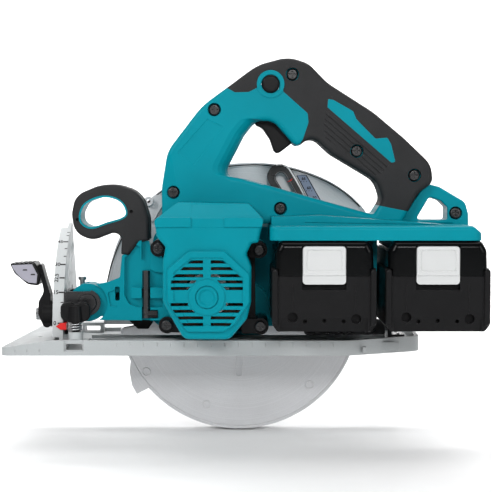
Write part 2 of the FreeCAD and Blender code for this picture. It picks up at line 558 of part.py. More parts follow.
# each corner screw stands in its own black boss beside the housing
boss_fills = []
for x, z in MOTOR_SCREWS:
    post = rod_y(x, z, 6.2, MOTOR_SCREW_SEAT, MOTOR_BACK_Y)
    side = 1 if x > MOTOR_X else -1
    web = box((min(x, x - 14 * side), max(x, x - 14 * side)), (MOTOR_SCREW_SEAT, MOTOR_BACK_Y),
              (z - 5.4, z + 5.4))
    boss_fills.append(post.fuse(web))
screw_bosses = fuse(*boss_fills).cut(motor_fill)
for x, z in MOTOR_SCREWS:
    screw_bosses = screw_bosses.cut(rod_y(x, z, 2.1, MOTOR_SCREW_SEAT - 1, MOTOR_BACK_Y + 1))
collar = slab([(-56.5, 20, 6), (-40, 13.5, 6), (-2, 13.5, 6), (13, 22, 6), (12.5, 80, 4), (-54, 80, 4)],
              "xz", -70.0, MOTOR_BACK_Y).cut(motor_fill)
for x, z in MOTOR_SCREWS:
    collar = collar.cut(rod_y(x, z, 6.2, -100, 0))
collar = collar.cut(fuse(*boss_fills))
collar = max(collar.Solids, key=lambda s: s.Volume)
for s in screw_bosses.Solids:
    if s.Volume > 50:
        collar = collar.fuse(s)
put("motor_collar", collar.removeSplitter())
put("motor_housing", motor_housing())
screws = [screw_y(x, z, -50.0, MOTOR_SCREW_SEAT) for x, z in MOTOR_SCREWS]

# ---- gear housing --------------------------------------------------------------------------------
GEAR_CAVITY_R = GEAR_MODULE * (GEAR_TEETH / 2 + 1) + 0.5
PINION_CAVITY_R = GEAR_MODULE * (PINION_TEETH / 2 + 1) + 0.9
SPINDLE_BEARING_R, SPINDLE_R = 14.0, 6.0
FRONT_BEARING_R, SHAFT_R = 11.0, 4.0
CASE_SCREWS = [(-62.0, 22.0), (-58.0, 82.0), (26.0, 84.0), (36.0, 24.0)]


def gear_housing():
    flange = slab([(-70, 13, 10), (-68, 92, 12), (34, 92, 12), (44, 44, 14), (44, 13, 10)], "xz", -19,
                  WALL_L)
    bulge = rod_y(0, ARBOR_Z, GEAR_CAVITY_R + 1.9, -35, WALL_L)
    end_boss = rod_y(0, ARBOR_Z, 10.5, -39.5, -34)
    barrel = rod_y(MOTOR_X, MOTOR_Z, 32.0, MOTOR_BACK_Y, -19)
    barrel = barrel.fuse(slab([(-53, 20, 8), (-50, 80, 8), (8, 80, 8), (10, 20, 8)], "xz", MOTOR_BACK_Y,
                              -42))
    for x, z in MOTOR_SCREWS:
        barrel = barrel.fuse(rod_y(x, z, 6.2, MOTOR_BACK_Y, -46))
        side = 1 if x > MOTOR_X else -1
        barrel = barrel.fuse(box((min(x, x - 16 * side), max(x, x - 16 * side)), (MOTOR_BACK_Y, -46),
                                 (z - 4, z + 4)))
    arm = slab([(-86.7, 74.7, 2), (-88.3, 56.9, 2), (-98, 53.2, 3), (-108, 51.5, 3), (-118, 46, 5),
                (-122, 30, 6),
                (-104, 25, 5), (-68.2, 24.7, 2), (-47.2, 24.7, 2), (-47.2, 66.6, 2), (-64.1, 69, 2),
                (-66.5, 84.4, 2),
                (-73.8, 84.4, 2), (-81.9, 73.1, 2)], "xz", -90.0, -84.0)
    boss = rod_y(DEPTH_X, DEPTH_Z, 14.2, CLEVIS_Y[1] + FIT, CLEVIS_FAR_Y[0] - FIT)
    beam = slab([(-112, 27, 3), (-112, 47, 3), (-86, 52, 4), (-84, 70, 4), (-66, 80, 3), (-47, 64, 3),
                 (-47, 27, 3)],
                "xz", -90, -60)
    back = slab([(-84, 28, 3), (-84, 66, 4), (-66, 74, 4), (-40, 74, 3), (-40, 28, 3)], "xz", -64, -16)
    whole = flange
    for piece in (bulge, end_boss, barrel, arm, beam, boss, back):
        whole = whole.fuse(piece)
    # hollows
    whole = whole.cut(rod_y(DEPTH_X, DEPTH_Z, 15.5, -100, CLEVIS_Y[1] + FIT))
    whole = whole.cut(rod_y(DEPTH_X, DEPTH_Z, 15.5, CLEVIS_FAR_Y[0] - FIT, -50))
    whole = whole.cut(rod_y(DEPTH_X, DEPTH_Z, DEPTH_PIN_R + 0.05, -100, -50))
    groove = ring_y(DEPTH_X, DEPTH_Z, 15.5, 10.4, CLAMP_Y - 7, CLAMP_Y + 7)
    whole = whole.cut(groove.common(box((-140, DEPTH_X), (-100, -50), (0, 60))))
    whole = whole.cut(slab([(-98, 31, 2), (-98, 44, 2), (-78, 48, 2), (-75, 66, 2), (-66, 68, 2),
                            (-56, 58, 2),
                            (-56, 31, 2)], "xz", -84.0, -63.0))
    whole = whole.cut(slab([(-80, 32, 2), (-80, 62, 2), (-62, 66, 2), (-62, 32, 2)], "xz", -60, -19))
    whole = whole.cut(slab([(-92, 39.5, 0.8), (-92, 50, 0.8), (-88.5, 50, 0.8), (-88.5, 39.5, 0.8)], "xz",
                           -91, -83))
    arm_panel = slab([(-97.5, 45.5, 1), (-90.2, 48.5, 1), (-90.2, 34.5, 1), (-95.5, 35.5, 1)], "xz", -91,
                     -88.8)
    whole = whole.cut(arm_panel).cut(slab(POCKET, "xz", -91, POCKET_FLOOR_Y))
    for low, high in ((-79.6, HEX_X[0] - KEY_GAP), (HEX_X[1] + KEY_GAP, -56)):
        whole = whole.fuse(slab([(low, 41.5, 1), (low, 49.5, 1), (high, 49.5, 1), (high, 41.5, 1)], "xz",
                                -91.5, POCKET_FLOOR_Y + 1))
    whole = whole.cut(box((HEX_X[0] - KEY_GAP, HEX_X[1] + KEY_GAP), (-93, POCKET_FLOOR_Y), (20, 90)))
    whole = whole.cut(box((HEX_X[0] - KEY_GAP, -60.0), (-93, POCKET_FLOOR_Y), (26.2, 32.6)))
    whole = whole.cut(motor_fill).cut(parts["motor_collar"])
    whole = whole.cut(rod_y(0, ARBOR_Z, GEAR_CAVITY_R, -33, WALL_L + 1))
    whole = whole.cut(rod_y(MOTOR_X, MOTOR_Z, PINION_CAVITY_R, -33, WALL_L - 1.5))
    whole = whole.cut(rod_y(MOTOR_X, MOTOR_Z, 6.0, -50, -30))
    whole = whole.cut(rod_y(MOTOR_X, MOTOR_Z, FRONT_BEARING_R, -44, -36))
    whole = whole.cut(rod_y(MOTOR_X, MOTOR_Z, 29.4, MOTOR_BACK_Y - 1, -44))
    whole = whole.cut(rod_y(0, ARBOR_Z, 7.0, -38.2, -32))
    for a in range(200, 341, 20):
        x, z = polar(30, a, MOTOR_X, MOTOR_Z)
        slit = box((-1.5, 1.5), (-59, -46), (-6, 6))
        slit.rotate(V(0, 0, 0), V(0, 1, 0), 90 - a)
        slit.translate(V(x, 0, z))
        whole = whole.cut(slit)
    for x, z in MOTOR_SCREWS:
        whole = whole.cut(rod_y(x, z, 2.0, -70, -49.9))
    for x, z in CASE_SCREWS:
        whole = whole.cut(rod_y(x, z, 2.0, -19.5, WALL_L + 1))
    whole = whole.cut(box((LOCK_X[0] - 0.2, LOCK_X[1] + 0.2), (-60, -30), (10, 30)))
    return max(whole.removeSplitter().Solids, key=lambda s: s.Volume)


HEX_X = (-71.8, -65.8)
KEY_Y = -89.4
KEY_AF = 5.0
KEY_GAP = 0.25
POCKET = [(-84.7, 71.5, 1.5), (-80.5, 75.5, 1.5), (-76.5, 81.5, 1), (-73.2, 79.5, 1), (-72.8, 71.5, 2),
          (-69.2, 65.2, 2), (-62, 61.2, 2), (-56, 60.5, 1), (-56, 34.5, 2), (-75, 34.5, 3), (-81.5, 37, 3),
          (-85.0, 43.5, 3)]
POCKET_FLOOR_Y = -86.3
LOCK_X = (-84.5, -66.5)
put("gear_housing", gear_housing())

# hex key: a long bar held upright at the side of the gear housing, its foot bent rearward
key_x = (HEX_X[0] + HEX_X[1]) / 2
key = hexagon(KEY_AF, "xy", key_x, KEY_Y, 26.6, 62.0)
foot = hexagon(KEY_AF, "yz", KEY_Y, 29.4, key_x - 1.5, -60.4)
put("hex_key", key.fuse(foot).removeSplitter())

# ---- drive train ---------------------------------------------------------------------------------
def gear_outline(teeth, cx, cz, tooth_at, backlash):
    """Points around an involute gear; one tooth is centred on the angle tooth_at."""
    press = math.radians(20)
    rp = GEAR_MODULE * teeth / 2
    rb, ra, rf = rp * math.cos(press), rp + 0.9 * GEAR_MODULE, rp - 1.2 * GEAR_MODULE

    def inv(t):
        return math.tan(t) - t

    def half(r):
        r = max(r, rb)
        return math.pi / (2 * teeth) - backlash / (2 * rp) + inv(press) - inv(math.acos(rb / r))

    radii = [rf, max(rb, rf + 0.2), rp - 0.3, rp + 0.3, ra]
    corners = []
    for k in range(teeth):
        mid = math.radians(tooth_at) + 2 * math.pi * k / teeth
        for r in radii:
            corners.append((cx + r * math.cos(mid - half(r)), cz + r * math.sin(mid - half(r))))
        for r in reversed(radii):
            corners.append((cx + r * math.cos(mid + half(r)), cz + r * math.sin(mid + half(r))))
    return corners


BACKLASH = 0.16
RETAINER_R = 21.0
big_gear = slab(gear_outline(GEAR_TEETH, 0, ARBOR_Z, GEAR_LINE_DEG, BACKLASH), "xz", -31, -21)
big_gear = big_gear.cut(ring_y(0, ARBOR_Z, 18, 10.5, -32, -28.5)).cut(rod_y(0, ARBOR_Z, SPINDLE_R, -40, 0))
put("spindle_gear", big_gear)
pinion_at = GEAR_LINE_DEG + 180 + 180 / PINION_TEETH
pinion = slab(gear_outline(PINION_TEETH, MOTOR_X, MOTOR_Z, pinion_at, BACKLASH), "xz", -32, -20)
shaft = fuse(rod_y(MOTOR_X, MOTOR_Z, SHAFT_R - 0.03, -136.5, -31.9),
             rod_y(MOTOR_X, MOTOR_Z, 5.5, -64, -44.4))
put("rotor_shaft", fuse(pinion, shaft))
put("rotor_core", rod_y(MOTOR_X, MOTOR_Z, 16.0, -118,
                        -68).cut(rod_y(MOTOR_X, MOTOR_Z, SHAFT_R - 0.03, -140, -31)))
fan = rod_y(MOTOR_X, MOTOR_Z, 27.5, -48.5, -47.0).fuse(rod_y(MOTOR_X, MOTOR_Z, 9.0, -57, -47))
for k in range(12):
    blade = box((-0.7, 0.7), (-56, -48), (12, 27))
    blade.rotate(V(0, 0, 0), V(0, 1, 0), 30 * k)
    blade.translate(V(MOTOR_X, 0, MOTOR_Z))
    fan = fan.fuse(blade)
put("cooling_fan", fan.cut(rod_y(MOTOR_X, MOTOR_Z, 5.5, -70, -40)).removeSplitter())
stator = ring_y(MOTOR_X, MOTOR_Z, STATOR_R, 16.5, -116, -70)
for k in range(6):
    gap = box((-3.4, 3.4), (-117, -69), (17.5, 23.5))
    gap.rotate(V(0, 0, 0), V(0, 1, 0), 60 * k)
    mouth = box((-1.2, 1.2), (-117, -69), (15, 18))
    mouth.rotate(V(0, 0, 0), V(0, 1, 0), 60 * k)
    for cutter in (gap, mouth):
        cutter.translate(V(MOTOR_X, 0, MOTOR_Z))
        stator = stator.cut(cutter)
coils = []
for k in range(6):
    winding = fuse(box((-3.2, -0.2), (-123, -64), (17.8, 23.2)), box((0.2, 3.2), (-123, -64), (17.8, 23.2)),
                   box((-3.2, 3.2), (-123, -117), (17.8, 23.2)))
    winding.rotate(V(0, 0, 0), V(0, 1, 0), 60 * k)
    winding.translate(V(MOTOR_X, 0, MOTOR_Z))
    coils.append(winding)
put("stator", Part.makeCompound([stator] + coils))


def bearing(x, z, outer, inner, a, b):
    """A closed ball bearing drawn as one ring, with the seal set in at both faces."""
    whole = ring_y(x, z, outer, inner, a, b)
    lip = (outer - inner) * 0.28
    for y0, y1 in ((a - 1, a + 0.5), (b - 0.5, b + 1)):
        whole = whole.cut(ring_y(x, z, outer - lip, inner + lip, y0, y1))
    return whole


put("bearings", Part.makeCompound([
    bearing(MOTOR_X, MOTOR_Z, FRONT_BEARING_R, SHAFT_R, -43.4, -36.4),
    bearing(MOTOR_X, MOTOR_Z, REAR_BEARING_R, SHAFT_R, -136, -130),
    bearing(0, ARBOR_Z, SPINDLE_BEARING_R, SPINDLE_R + 0.03, -17.5, -9.5),
    ring_y(0, ARBOR_Z, 7.0, 5.0, -38, -33.2)]))
retainer = rod_y(0, ARBOR_Z, GEAR_CAVITY_R, -19, -12.5).fuse(rod_y(0, ARBOR_Z, RETAINER_R, -19, -6.6))
retainer = retainer.cut(rod_y(0, ARBOR_Z, SPINDLE_BEARING_R, -20, -9.5)).cut(rod_y(0, ARBOR_Z, 10.0, -20,
                                                                                   0))
retainer = retainer.cut(rod_y(MOTOR_X, MOTOR_Z, PINION_CAVITY_R, -33, WALL_L - 1.5))
put("bearing_retainer", retainer)
put("guard_keeper_ring", ring_y(0, ARBOR_Z, 23.6, RETAINER_R, -7.6, -6.8))
spindle = fuse(rod_y(0, ARBOR_Z, 4.97, -37.6, -32), rod_y(0, ARBOR_Z, SPINDLE_R, -32, -6.4),
               rod_y(0, ARBOR_Z, 9.4, -9.2, -6.0), rod_y(0, ARBOR_Z, 7.9, -6.0, 1.4))
put("spindle", spindle.cut(rod_y(0, ARBOR_Z, 4.0, -18, 5)))
put("inner_flange", ring_y(0, ARBOR_Z, 19.5, 7.9, -6.0, -0.65).cut(ring_y(0, ARBOR_Z, 15, 7, -1.2, 0)))
put("outer_flange", ring_y(0, ARBOR_Z, 17.5, 4.0, 1.45, 4.6).fuse(ring_y(0, ARBOR_Z, 17.5, 12, 0.65, 2)))
put("blade_bolt", fuse(hexagon(13, "xz", 0, ARBOR_Z, 6.4, 10.6), rod_y(0, ARBOR_Z, 8.5, 4.6, 6.4),
                       rod_y(0, ARBOR_Z, 4.0, -17.5, 4.6)))
TEETH = 24
disc = []
tips = []
for k in range(TEETH):
    a = -360.0 * k / TEETH
    for r, da in ((BLADE_R - 0.4, 0.0), (BLADE_R - 12.5, -0.4), (BLADE_R - 14.5, -3.2),
                  (BLADE_R - 10.5, -6.2),
                  (BLADE_R - 5.5, -7.4), (BLADE_R - 2.2, -11.6)):
        disc.append(polar(r, a + da))
    tip = slab([polar(BLADE_R, a - 0.05), polar(BLADE_R - 6, a - 0.25), polar(BLADE_R - 6, a + 1.0),
                polar(BLADE_R - 0.25, a + 1.15)], "xz", -0.9, 0.9)
    tips.append(tip)
blade = slab(disc, "xz", -0.65, 0.65)
for tip in tips:
    blade = blade.cut(tip)
blade = blade.cut(rod_y(0, ARBOR_Z, 7.9, -2, 2))
for k in range(4):
    a = 90 * k + 20
    x, z = polar(BLADE_R - 30, a)
    blade = blade.cut(rod_y(x, z, 2.2, -2, 2))
    x, z = polar(42, a + 45)
    blade = blade.cut(rod_y(x, z, 3.0, -2, 2))
put("saw_blade", Part.makeCompound([max(blade.Solids, key=lambda s: s.Volume)] + tips))

# ---- blade case and lower guard ------------------------------------------------------------------
CASE_T = 2.5
CASE_RADII = [(178, 108.0), (168.6, 107.8), (158, 109.2), (148.4, 111.4), (130, 113.2), (110, 114.6),
              (93.3, 115.8),
              (86.9, 116.7), (74.1, 119.4), (61.1, 123.0), (54.9, 125.0), (47.7, 126.9), (38.6, 128.0)]
CASE_REAR_X = 110.0
CASE_LOW_Z = 14.0
WALL_LOW_Z = 24.0  # lower edge of the outer wall, clear of the base when the saw is tilted


def case_profile(inset, low):
    """The case's side outline: a growing spiral over the blade, closed by a straight foot."""
    pts = [polar(r - inset, a) for a, r in CASE_RADII]
    curve = Part.BSplineCurve()
    curve.interpolate([V(x, 0, z) for x, z in pts])
    first, last = V(pts[0][0], 0, pts[0][1]), V(pts[-1][0], 0, pts[-1][1])
    foot_front = V(first.x - 0.2, 0, low)
    foot_rear = V(CASE_REAR_X - inset, 0, low)
    knee = V(CASE_REAR_X - inset, 0, 88)
    edges = [curve.toShape(), Part.makeLine(last, knee), Part.makeLine(knee, foot_rear),
             Part.makeLine(foot_rear, foot_front), Part.makeLine(foot_front, first)]
    return Part.Face(Part.Wire(edges))


def case_slab(inset, low, y0, y1):
    face = case_profile(inset, low)
    face.translate(V(0, y0, 0))
    return face.extrude(V(0, y1 - y0, 0))


GUARD_WALL_Y = 8.0
GUARD_T = 1.5
LEVER_R = 68.0  # where the guard's retracting lever stands
LEVER_DEG = 9.0
GUARD_TRAVEL_DEG = 120.0


def blade_case():
    whole = case_slab(0, CASE_LOW_Z, WALL_L, WALL_R)
    whole = whole.cut(case_slab(CASE_T, CASE_LOW_Z - 10, WALL_L + CASE_T, WALL_R - CASE_T))
    bead = case_slab(-1.0, CASE_LOW_Z, WALL_R - 3.4, WALL_R).cut(case_slab(1.0, 0, WALL_R - 10, WALL_R + 5))
    whole = whole.fuse(bead)
    whole = whole.cut(case_slab(2.6, 0, WALL_L - 1,
                                WALL_L + 0.5).cut(case_slab(3.3, 0, WALL_L - 2, WALL_L + 1)))
    whole = whole.cut(box((-130, 130), (WALL_R - CASE_T - 0.01, WALL_R + 1), (0, WALL_LOW_Z)))
    whole = whole.cut(rod_y(0, ARBOR_Z, 24.0, WALL_R - 5, WALL_R + 3))
    whole = whole.cut(slot_y(LEVER_R, 9.0, -6, LEVER_DEG + GUARD_TRAVEL_DEG + 3, WALL_R - 5, WALL_R + 3, 0,
                             ARBOR_Z))
    whole = whole.cut(rod_y(0, ARBOR_Z, GEAR_CAVITY_R, -20, WALL_L + CASE_T))
    for x, z in CASE_SCREWS:
        whole = whole.cut(rod_y(x, z, 2.05, -20, -12))
    x, z = polar(GUIDE_R, GUIDE_REST_DEG, DEPTH_X, DEPTH_Z)
    whole = whole.fuse(rod_y(x, z, 8.0, WALL_L - 5.5, WALL_L)).cut(rod_y(x, z, PIN_R, WALL_L - 8,
                                                                         WALL_L + 4))
    return whole.removeSplitter()


def lower_guard():
    y = GUARD_WALL_Y + GUARD_T
    drum = rod_y(0, ARBOR_Z, GUARD_R, -y,
                 y).cut(rod_y(0, ARBOR_Z, GUARD_R - GUARD_T, -GUARD_WALL_Y, GUARD_WALL_Y))
    keep = sector(1, 140, 190, 365, -40, 40)
    drum = drum.common(keep)
    lip = slab([polar(GUARD_R - 3, 203), (-88.2, -24.6, 4), (-86.3, -35.6, 3), (-82.4, -43.2, 1),
                polar(96.4, 221.5),
                polar(80, 214)], "xz", -y, y)
    lip = lip.cut(slab([polar(GUARD_R - 5, 203.4), (-86.6, -25.0, 3), (-84.8, -35.2, 3), (-81.6, -40.6),
                        polar(94.4, 221.3), polar(78, 214)], "xz", -GUARD_WALL_Y, GUARD_WALL_Y))
    drum = drum.fuse(lip)
    drum = drum.cut(rod_y(0, ARBOR_Z, 60.0, 0, y + 1))
    ear = sector(60, 76, 360, 360 + LEVER_DEG + 6, GUARD_WALL_Y, y)
    drum = drum.fuse(ear)
    hub = rod_y(0, ARBOR_Z, 25.5, -12.2, -GUARD_WALL_Y)
    plate = sector(20, 40, 150, 365, -y, -GUARD_WALL_Y)
    drum = drum.fuse(hub).fuse(plate)
    drum = drum.cut(rod_y(0, ARBOR_Z, RETAINER_R + 0.08, -20, 0))
    rib = fuse(box((-3.1, 3.1), (-y - 0.5, -y + 0.2), (-26, 5)), rod_y(0, -26, 3.1, -y - 0.5, -y + 0.2))
    inner = fuse(box((-2.0, 2.0), (-y - 2, -y + 0.3), (-26, 2)), rod_y(0, -26, 2.0, -y - 2, -y + 0.3))
    drum = drum.fuse(rib).cut(inner)
    drum = drum.cut(ring_y(0, ARBOR_Z, GUARD_R - 1.9, GUARD_R - 2.5, -y - 1, -y + 0.4))
    for x, z in ((-74.7, -25.2), (-26.0, -51.6), (56.9, -35.6)):
        drum = drum.fuse(ring_y(x, z, 3.6, 2.6, -y - 0.5, -y + 0.2))
    x, z = polar(LEVER_R, LEVER_DEG)
    drum = drum.cut(rod_y(x, z, 2.2, 5, 12))
    return drum.removeSplitter()


put("blade_case", blade_case())
put("lower_guard", lower_guard())
lx, lz = polar(LEVER_R, LEVER_DEG)
finger = rod_y(lx, lz, 5.2, GUARD_WALL_Y + GUARD_T, 20.5)
finger = soften(finger, on_level(finger, "y", 20.5), 2.0, 1.0)
put("guard_lever", fuse(finger, rod_y(lx, lz, 2.2, GUARD_WALL_Y, GUARD_WALL_Y + GUARD_T)))
for x, z in CASE_SCREWS:
    head = rod_y(x, z, 4.0, WALL_L + CASE_T, WALL_L + CASE_T + 2.2)
    head = head.cut(box((x - 2.4, x + 2.4), (WALL_L + CASE_T + 1, -5), (z - 0.5, z + 0.5)))
    screws.append(head.fuse(rod_y(x, z, 2.0, -19, WALL_L + CASE_T)))
# little cable-like spring hook and post at the front of the case
post = rod_y(-71.5, 112.5, 3.8, -24, -19)
bracket = slab([(-62, 118, 2), (-59, 112, 2), (-68, 96, 2), (-76, 99, 2), (-73, 106, 2), (-68, 117, 2)],
               "xz", -19, WALL_L)
case = parts["blade_case"].cut(rod_y(-71.5, 112.5, 1.6, -25, -14))
put("blade_case", case.fuse(fuse(post, bracket).cut(rod_y(-71.5, 112.5, 1.6, -25, -14))).removeSplitter())
label = slab([(45.8, 133.4, 1), (54.0, 133.6, 1), (69.5, 106, 1), (61.0, 104, 1)], "xz", WALL_L - 0.4,
             WALL_L)
put("depth_scale_plate", label.common(case_slab(3, 20, -20, 0)))
gx, gz = polar(GUIDE_R, GUIDE_REST_DEG, DEPTH_X, DEPTH_Z)
put("depth_clamp_bolt", fuse(rod_y(gx, gz, 5.5, WALL_L + CASE_T, WALL_L + CASE_T + 1.6),
                             rod_y(gx, gz, PIN_R, -36.4, WALL_L + CASE_T)))
hub = rod_y(gx, gz, 8.0, -35.4, GUIDE_Y[0] - FIT)
arm = slab([(gx, gz - 5), (gx, gz + 6), (gx + 60, gz + 14, 4), (gx + 74, gz + 14, 4), (gx + 74, gz + 2, 4),
            (gx + 60, gz + 2, 4)], "xz", -35.4, -28.0)
put("depth_lock_lever", hub.fuse(arm).cut(rod_y(gx, gz, PIN_R + 0.05, -40, -20)).removeSplitter())

# ---- handle --------------------------------------------------------------------------------------
HANDLE_OUT = [(-57, 99), (-57, 124, 20), (-52.6, 151, 26), (-27, 184.5, 60), (-5, 200.4, 60),
              (14, 214.6, 40),
              (37, 220.6, 26), (52, 215.8, 20), (66, 201.4, 40), (100, 179.8, 70), (123, 160.5, 60),
              (143.4, 141, 22),
              (144.6, 127.5, 7), (133.5, 119.5, 12), (121.5, 97), (-42, 97), (-57, 97)]
HANDLE_HOLE = [(-8.6, 138, 7), (4.6, 163.2, 16), (12.8, 173.4, 9), (25.8, 173.6, 12), (43.4, 153.4, 5),
               (54.6, 162.0, 12), (69, 148.8, 20), (102.8, 128.6, 16), (107.4, 115, 9), (100.4, 103.8, 3),
               (60.8, 114.8, 16), (6.2, 130, 16), (-7.4, 132.2, 6)]
LOOP_OUT = [(119, 97), (126, 106, 4), (140, 127, 4), (150, 124.5, 6), (169.5, 113, 7), (172, 104, 5),
            (172, 89), (160, 89), (160, 97)]
LOOP_HOLE = [(132.5, 99.6, 2), (142.6, 116.8, 3), (151, 114.2, 4), (156.2, 109, 3), (156.2, 99.6, 2)]
GRIP_ZONE = [(-8, 197.3), (-2.5, 194.2, 3), (7.8, 194.5, 4), (14.3, 197.8, 3), (15.4, 204, 4),
             (23, 209.6, 5),
             (31, 208, 4), (34, 201, 4), (33, 195, 2), (51.4, 178.8, 3), (52, 172, 3), (48, 160, 2),
             (43.2, 152),
             (57, 140), (98, 119), (103, 110.8), (126, 106.2), (170, 100), (170, 240), (60, 260),
             (-30, 240)]
INSERT_ZONE = [(66.4, 189.4, 0.8), (70.4, 188.6, 1.5), (85.2, 180.2, 2), (87.2, 174.6, 2), (101.6, 160, 2),
               (110.4, 160.8, 1.5), (113.2, 156, 3), (116.4, 143, 1), (113.6, 142.2, 1), (66.0, 183.2, 1)]
PANEL_ZONE = [(65.6, 181.4, 1), (63.6, 170, 3), (64.4, 161, 2), (100.6, 132.2, 3), (104.4, 133.4, 2),
              (112.4, 140.8, 1)]
# depth, and how far the rim is drawn out
FLARE = [(-0.5, 13.0), (1.0, 7.2), (3.0, 4.1), (6.0, 1.6), (12.0, -0.5)]
FLARE_WAY = (-0.99, 0.14)  # the side of the hole that the rim is drawn out to, in x and z
COLUMN_FACET = [(-41.6, -92.0, 97.0), (-50.3, -92.0, 151.6), (-55.0, -86.0, 97.0)]
# shallow seat of a rating plate
PLATE_ZONE = [(-45.0, 149.6), (-33.1, 140.4), (-10.8, 168.8), (-22.9, 174.5)]
SKIN = 2.6
LOCK_OFF_X, LOCK_OFF_Z = 23.9, 200.4
HANDLE_SCREWS = [(40, 207.6), (-17.8, 181.5), (-48.3, 120.3), (31.2, 108.4), (87.9, 150.9), (130.7, 132.9),
                 (162.4, 104.8)]
TRIGGER_PIVOT = (15.5, 183.0)


def inset_ring(depth, from_y):
    """The handle's D-shape drawn in by a depth on every side, from a level up to the joint."""
    outer = Part.Face(outline(HANDLE_OUT, "xz", from_y)).makeOffset2D(-depth)
    inner = Part.Face(outline(HANDLE_HOLE, "xz", from_y)).makeOffset2D(depth)
    return outer.cut(inner).extrude(V(0, HANDLE_Y - from_y, 0)).Solids[0]


def flare():
    """The block that rounds the hole's rim into a wide hand-side curve on the column's side."""
    near = HANDLE_Y - HANDLE_HALF
    wires = []
    for depth, drawn in FLARE:
        wire = outline(HANDLE_HOLE, "xz", near + depth)
        wire.translate(V(drawn * FLARE_WAY[0], 0, drawn * FLARE_WAY[1]))
        wires.append(wire)
    return Part.makeLoft(wires, True, True).common(box((-60, 19), (near - 2, near + 14), (100, 200)))


def beyond(corners, size=300.0):
    """A large block that lies on the outer side of the plane through three points."""
    p, q, r = [V(*c) for c in corners]
    block = Part.makeBox(size, size, size, V(-size / 2, -size / 2, 0))
    normal = (q - p).cross(r - p)
    block.Placement = FreeCAD.Placement(p, FreeCAD.Rotation(V(0, 0, 1), normal))
    return block


def handle_solids():
    """One half's outer body, its inner core and its hollow, all on the -Y side of the joint."""
    near = HANDLE_Y - HANDLE_HALF
    ring = slab(HANDLE_OUT, "xz", near, HANDLE_Y).cut(slab(HANDLE_HOLE, "xz", near - 1, HANDLE_Y + 1))
    ring = soften(ring, on_level(ring, "y", near), 9.0, 8.0, 7.0, 6.0, 5.0, 3.5, 2.0)
    ring = ring.cut(flare()).cut(beyond(COLUMN_FACET)).cut(slab(PLATE_ZONE, "xz", near - 1, near + 0.3))
    loop = slab(LOOP_OUT, "xz", HANDLE_Y - 13, HANDLE_Y).cut(slab(LOOP_HOLE, "xz", near - 1, HANDLE_Y + 1))
    loop = soften(loop, on_level(loop, "y", HANDLE_Y - 13), 1.2, 0.8, 0.5)
    return ring, loop, inset_ring(SKIN, near + SKIN + 1.5), inset_ring(SKIN + 3.0, near + SKIN + 5)


ring, loop, core, hollow = handle_solids()
near = HANDLE_Y - HANDLE_HALF
zone = slab(GRIP_ZONE, "xz", near - 1, HANDLE_Y + 1)
insert_zone = slab(INSERT_ZONE, "xz", near - 1, HANDLE_Y + 1)
panel_zone = slab(PANEL_ZONE, "xz", near - 1, HANDLE_Y + 1)
skin = ring.common(zone).cut(core).cut(loop)
shell = ring.cut(skin).fuse(loop)
posts = Part.makeCompound([rod_y(x, z, 4.4, near, HANDLE_Y) for x, z in HANDLE_SCREWS])
lock_post = rod_y(LOCK_OFF_X, LOCK_OFF_Z, 9.4, near, HANDLE_Y)
shell = shell.cut(hollow.cut(posts).cut(lock_post))
# the trigger's slot and the switch's pocket, open through the joint
TRIGGER_HALF = 7.5
well = slab([(10, 160), (9.5, 186), (22, 192), (58, 186), (62, 166), (52, 152), (36, 148)], "xz",
            HANDLE_Y - TRIGGER_HALF - 0.5, HANDLE_Y + 1)
shell = shell.cut(well)
lock_ring = ring_y(LOCK_OFF_X, LOCK_OFF_Z, 10.2, 6.9, near - 0.8, near + SKIN + 4)
skin = skin.cut(rod_y(LOCK_OFF_X, LOCK_OFF_Z, 10.2, near - 2, HANDLE_Y + 1))
shell = shell.fuse(lock_ring).cut(rod_y(LOCK_OFF_X, LOCK_OFF_Z, 6.9, near - 2, HANDLE_Y + 1))
insert = skin.common(insert_zone)
panel = skin.cut(insert_zone).common(panel_zone)
grip = skin.cut(insert_zone).cut(panel_zone)
stub = rod_y(TRIGGER_PIVOT[0], TRIGGER_PIVOT[1], 2.06, HANDLE_Y - TRIGGER_HALF - 3.2, HANDLE_Y)
shell = shell.fuse(rod_y(TRIGGER_PIVOT[0], TRIGGER_PIVOT[1], 4.5, near + SKIN + 1.5,
                         HANDLE_Y - TRIGGER_HALF - 0.5))
shell = shell.cut(stub)
panel_slope = math.degrees(math.atan2(181.4 - 140.8, 112.4 - 65.6))
for k in range(6):
    groove = box((-1, 70), (near - 1, near + 0.7), (-0.5, 0.5))
    groove.rotate(V(0, 0, 0), V(0, 1, 0), panel_slope)
    groove.translate(V(62.0, 0, 180.6 - 4.4 * k))
    panel = panel.cut(groove)


def mirrored(shape):
    return shape.mirror(V(0, HANDLE_Y, 0), V(0, 1, 0))


SEAT = near + 5.0
ENVELOPES = [motor_fill, deck_fill]


def largest(shape):
    return max(shape.Solids, key=lambda s: s.Volume)


def screw_holes(shape, seat_side):
    for x, z in HANDLE_SCREWS:
        low = HANDLE_Y - 13 + 3.5 if x > 150 else SEAT
        if seat_side:
            shape = shape.cut(rod_y(x, z, 5.0, near - 3, low))
        shape = shape.cut(rod_y(x, z, 2.1, low - 1, HANDLE_Y + (1 if seat_side else 12)))
    return shape


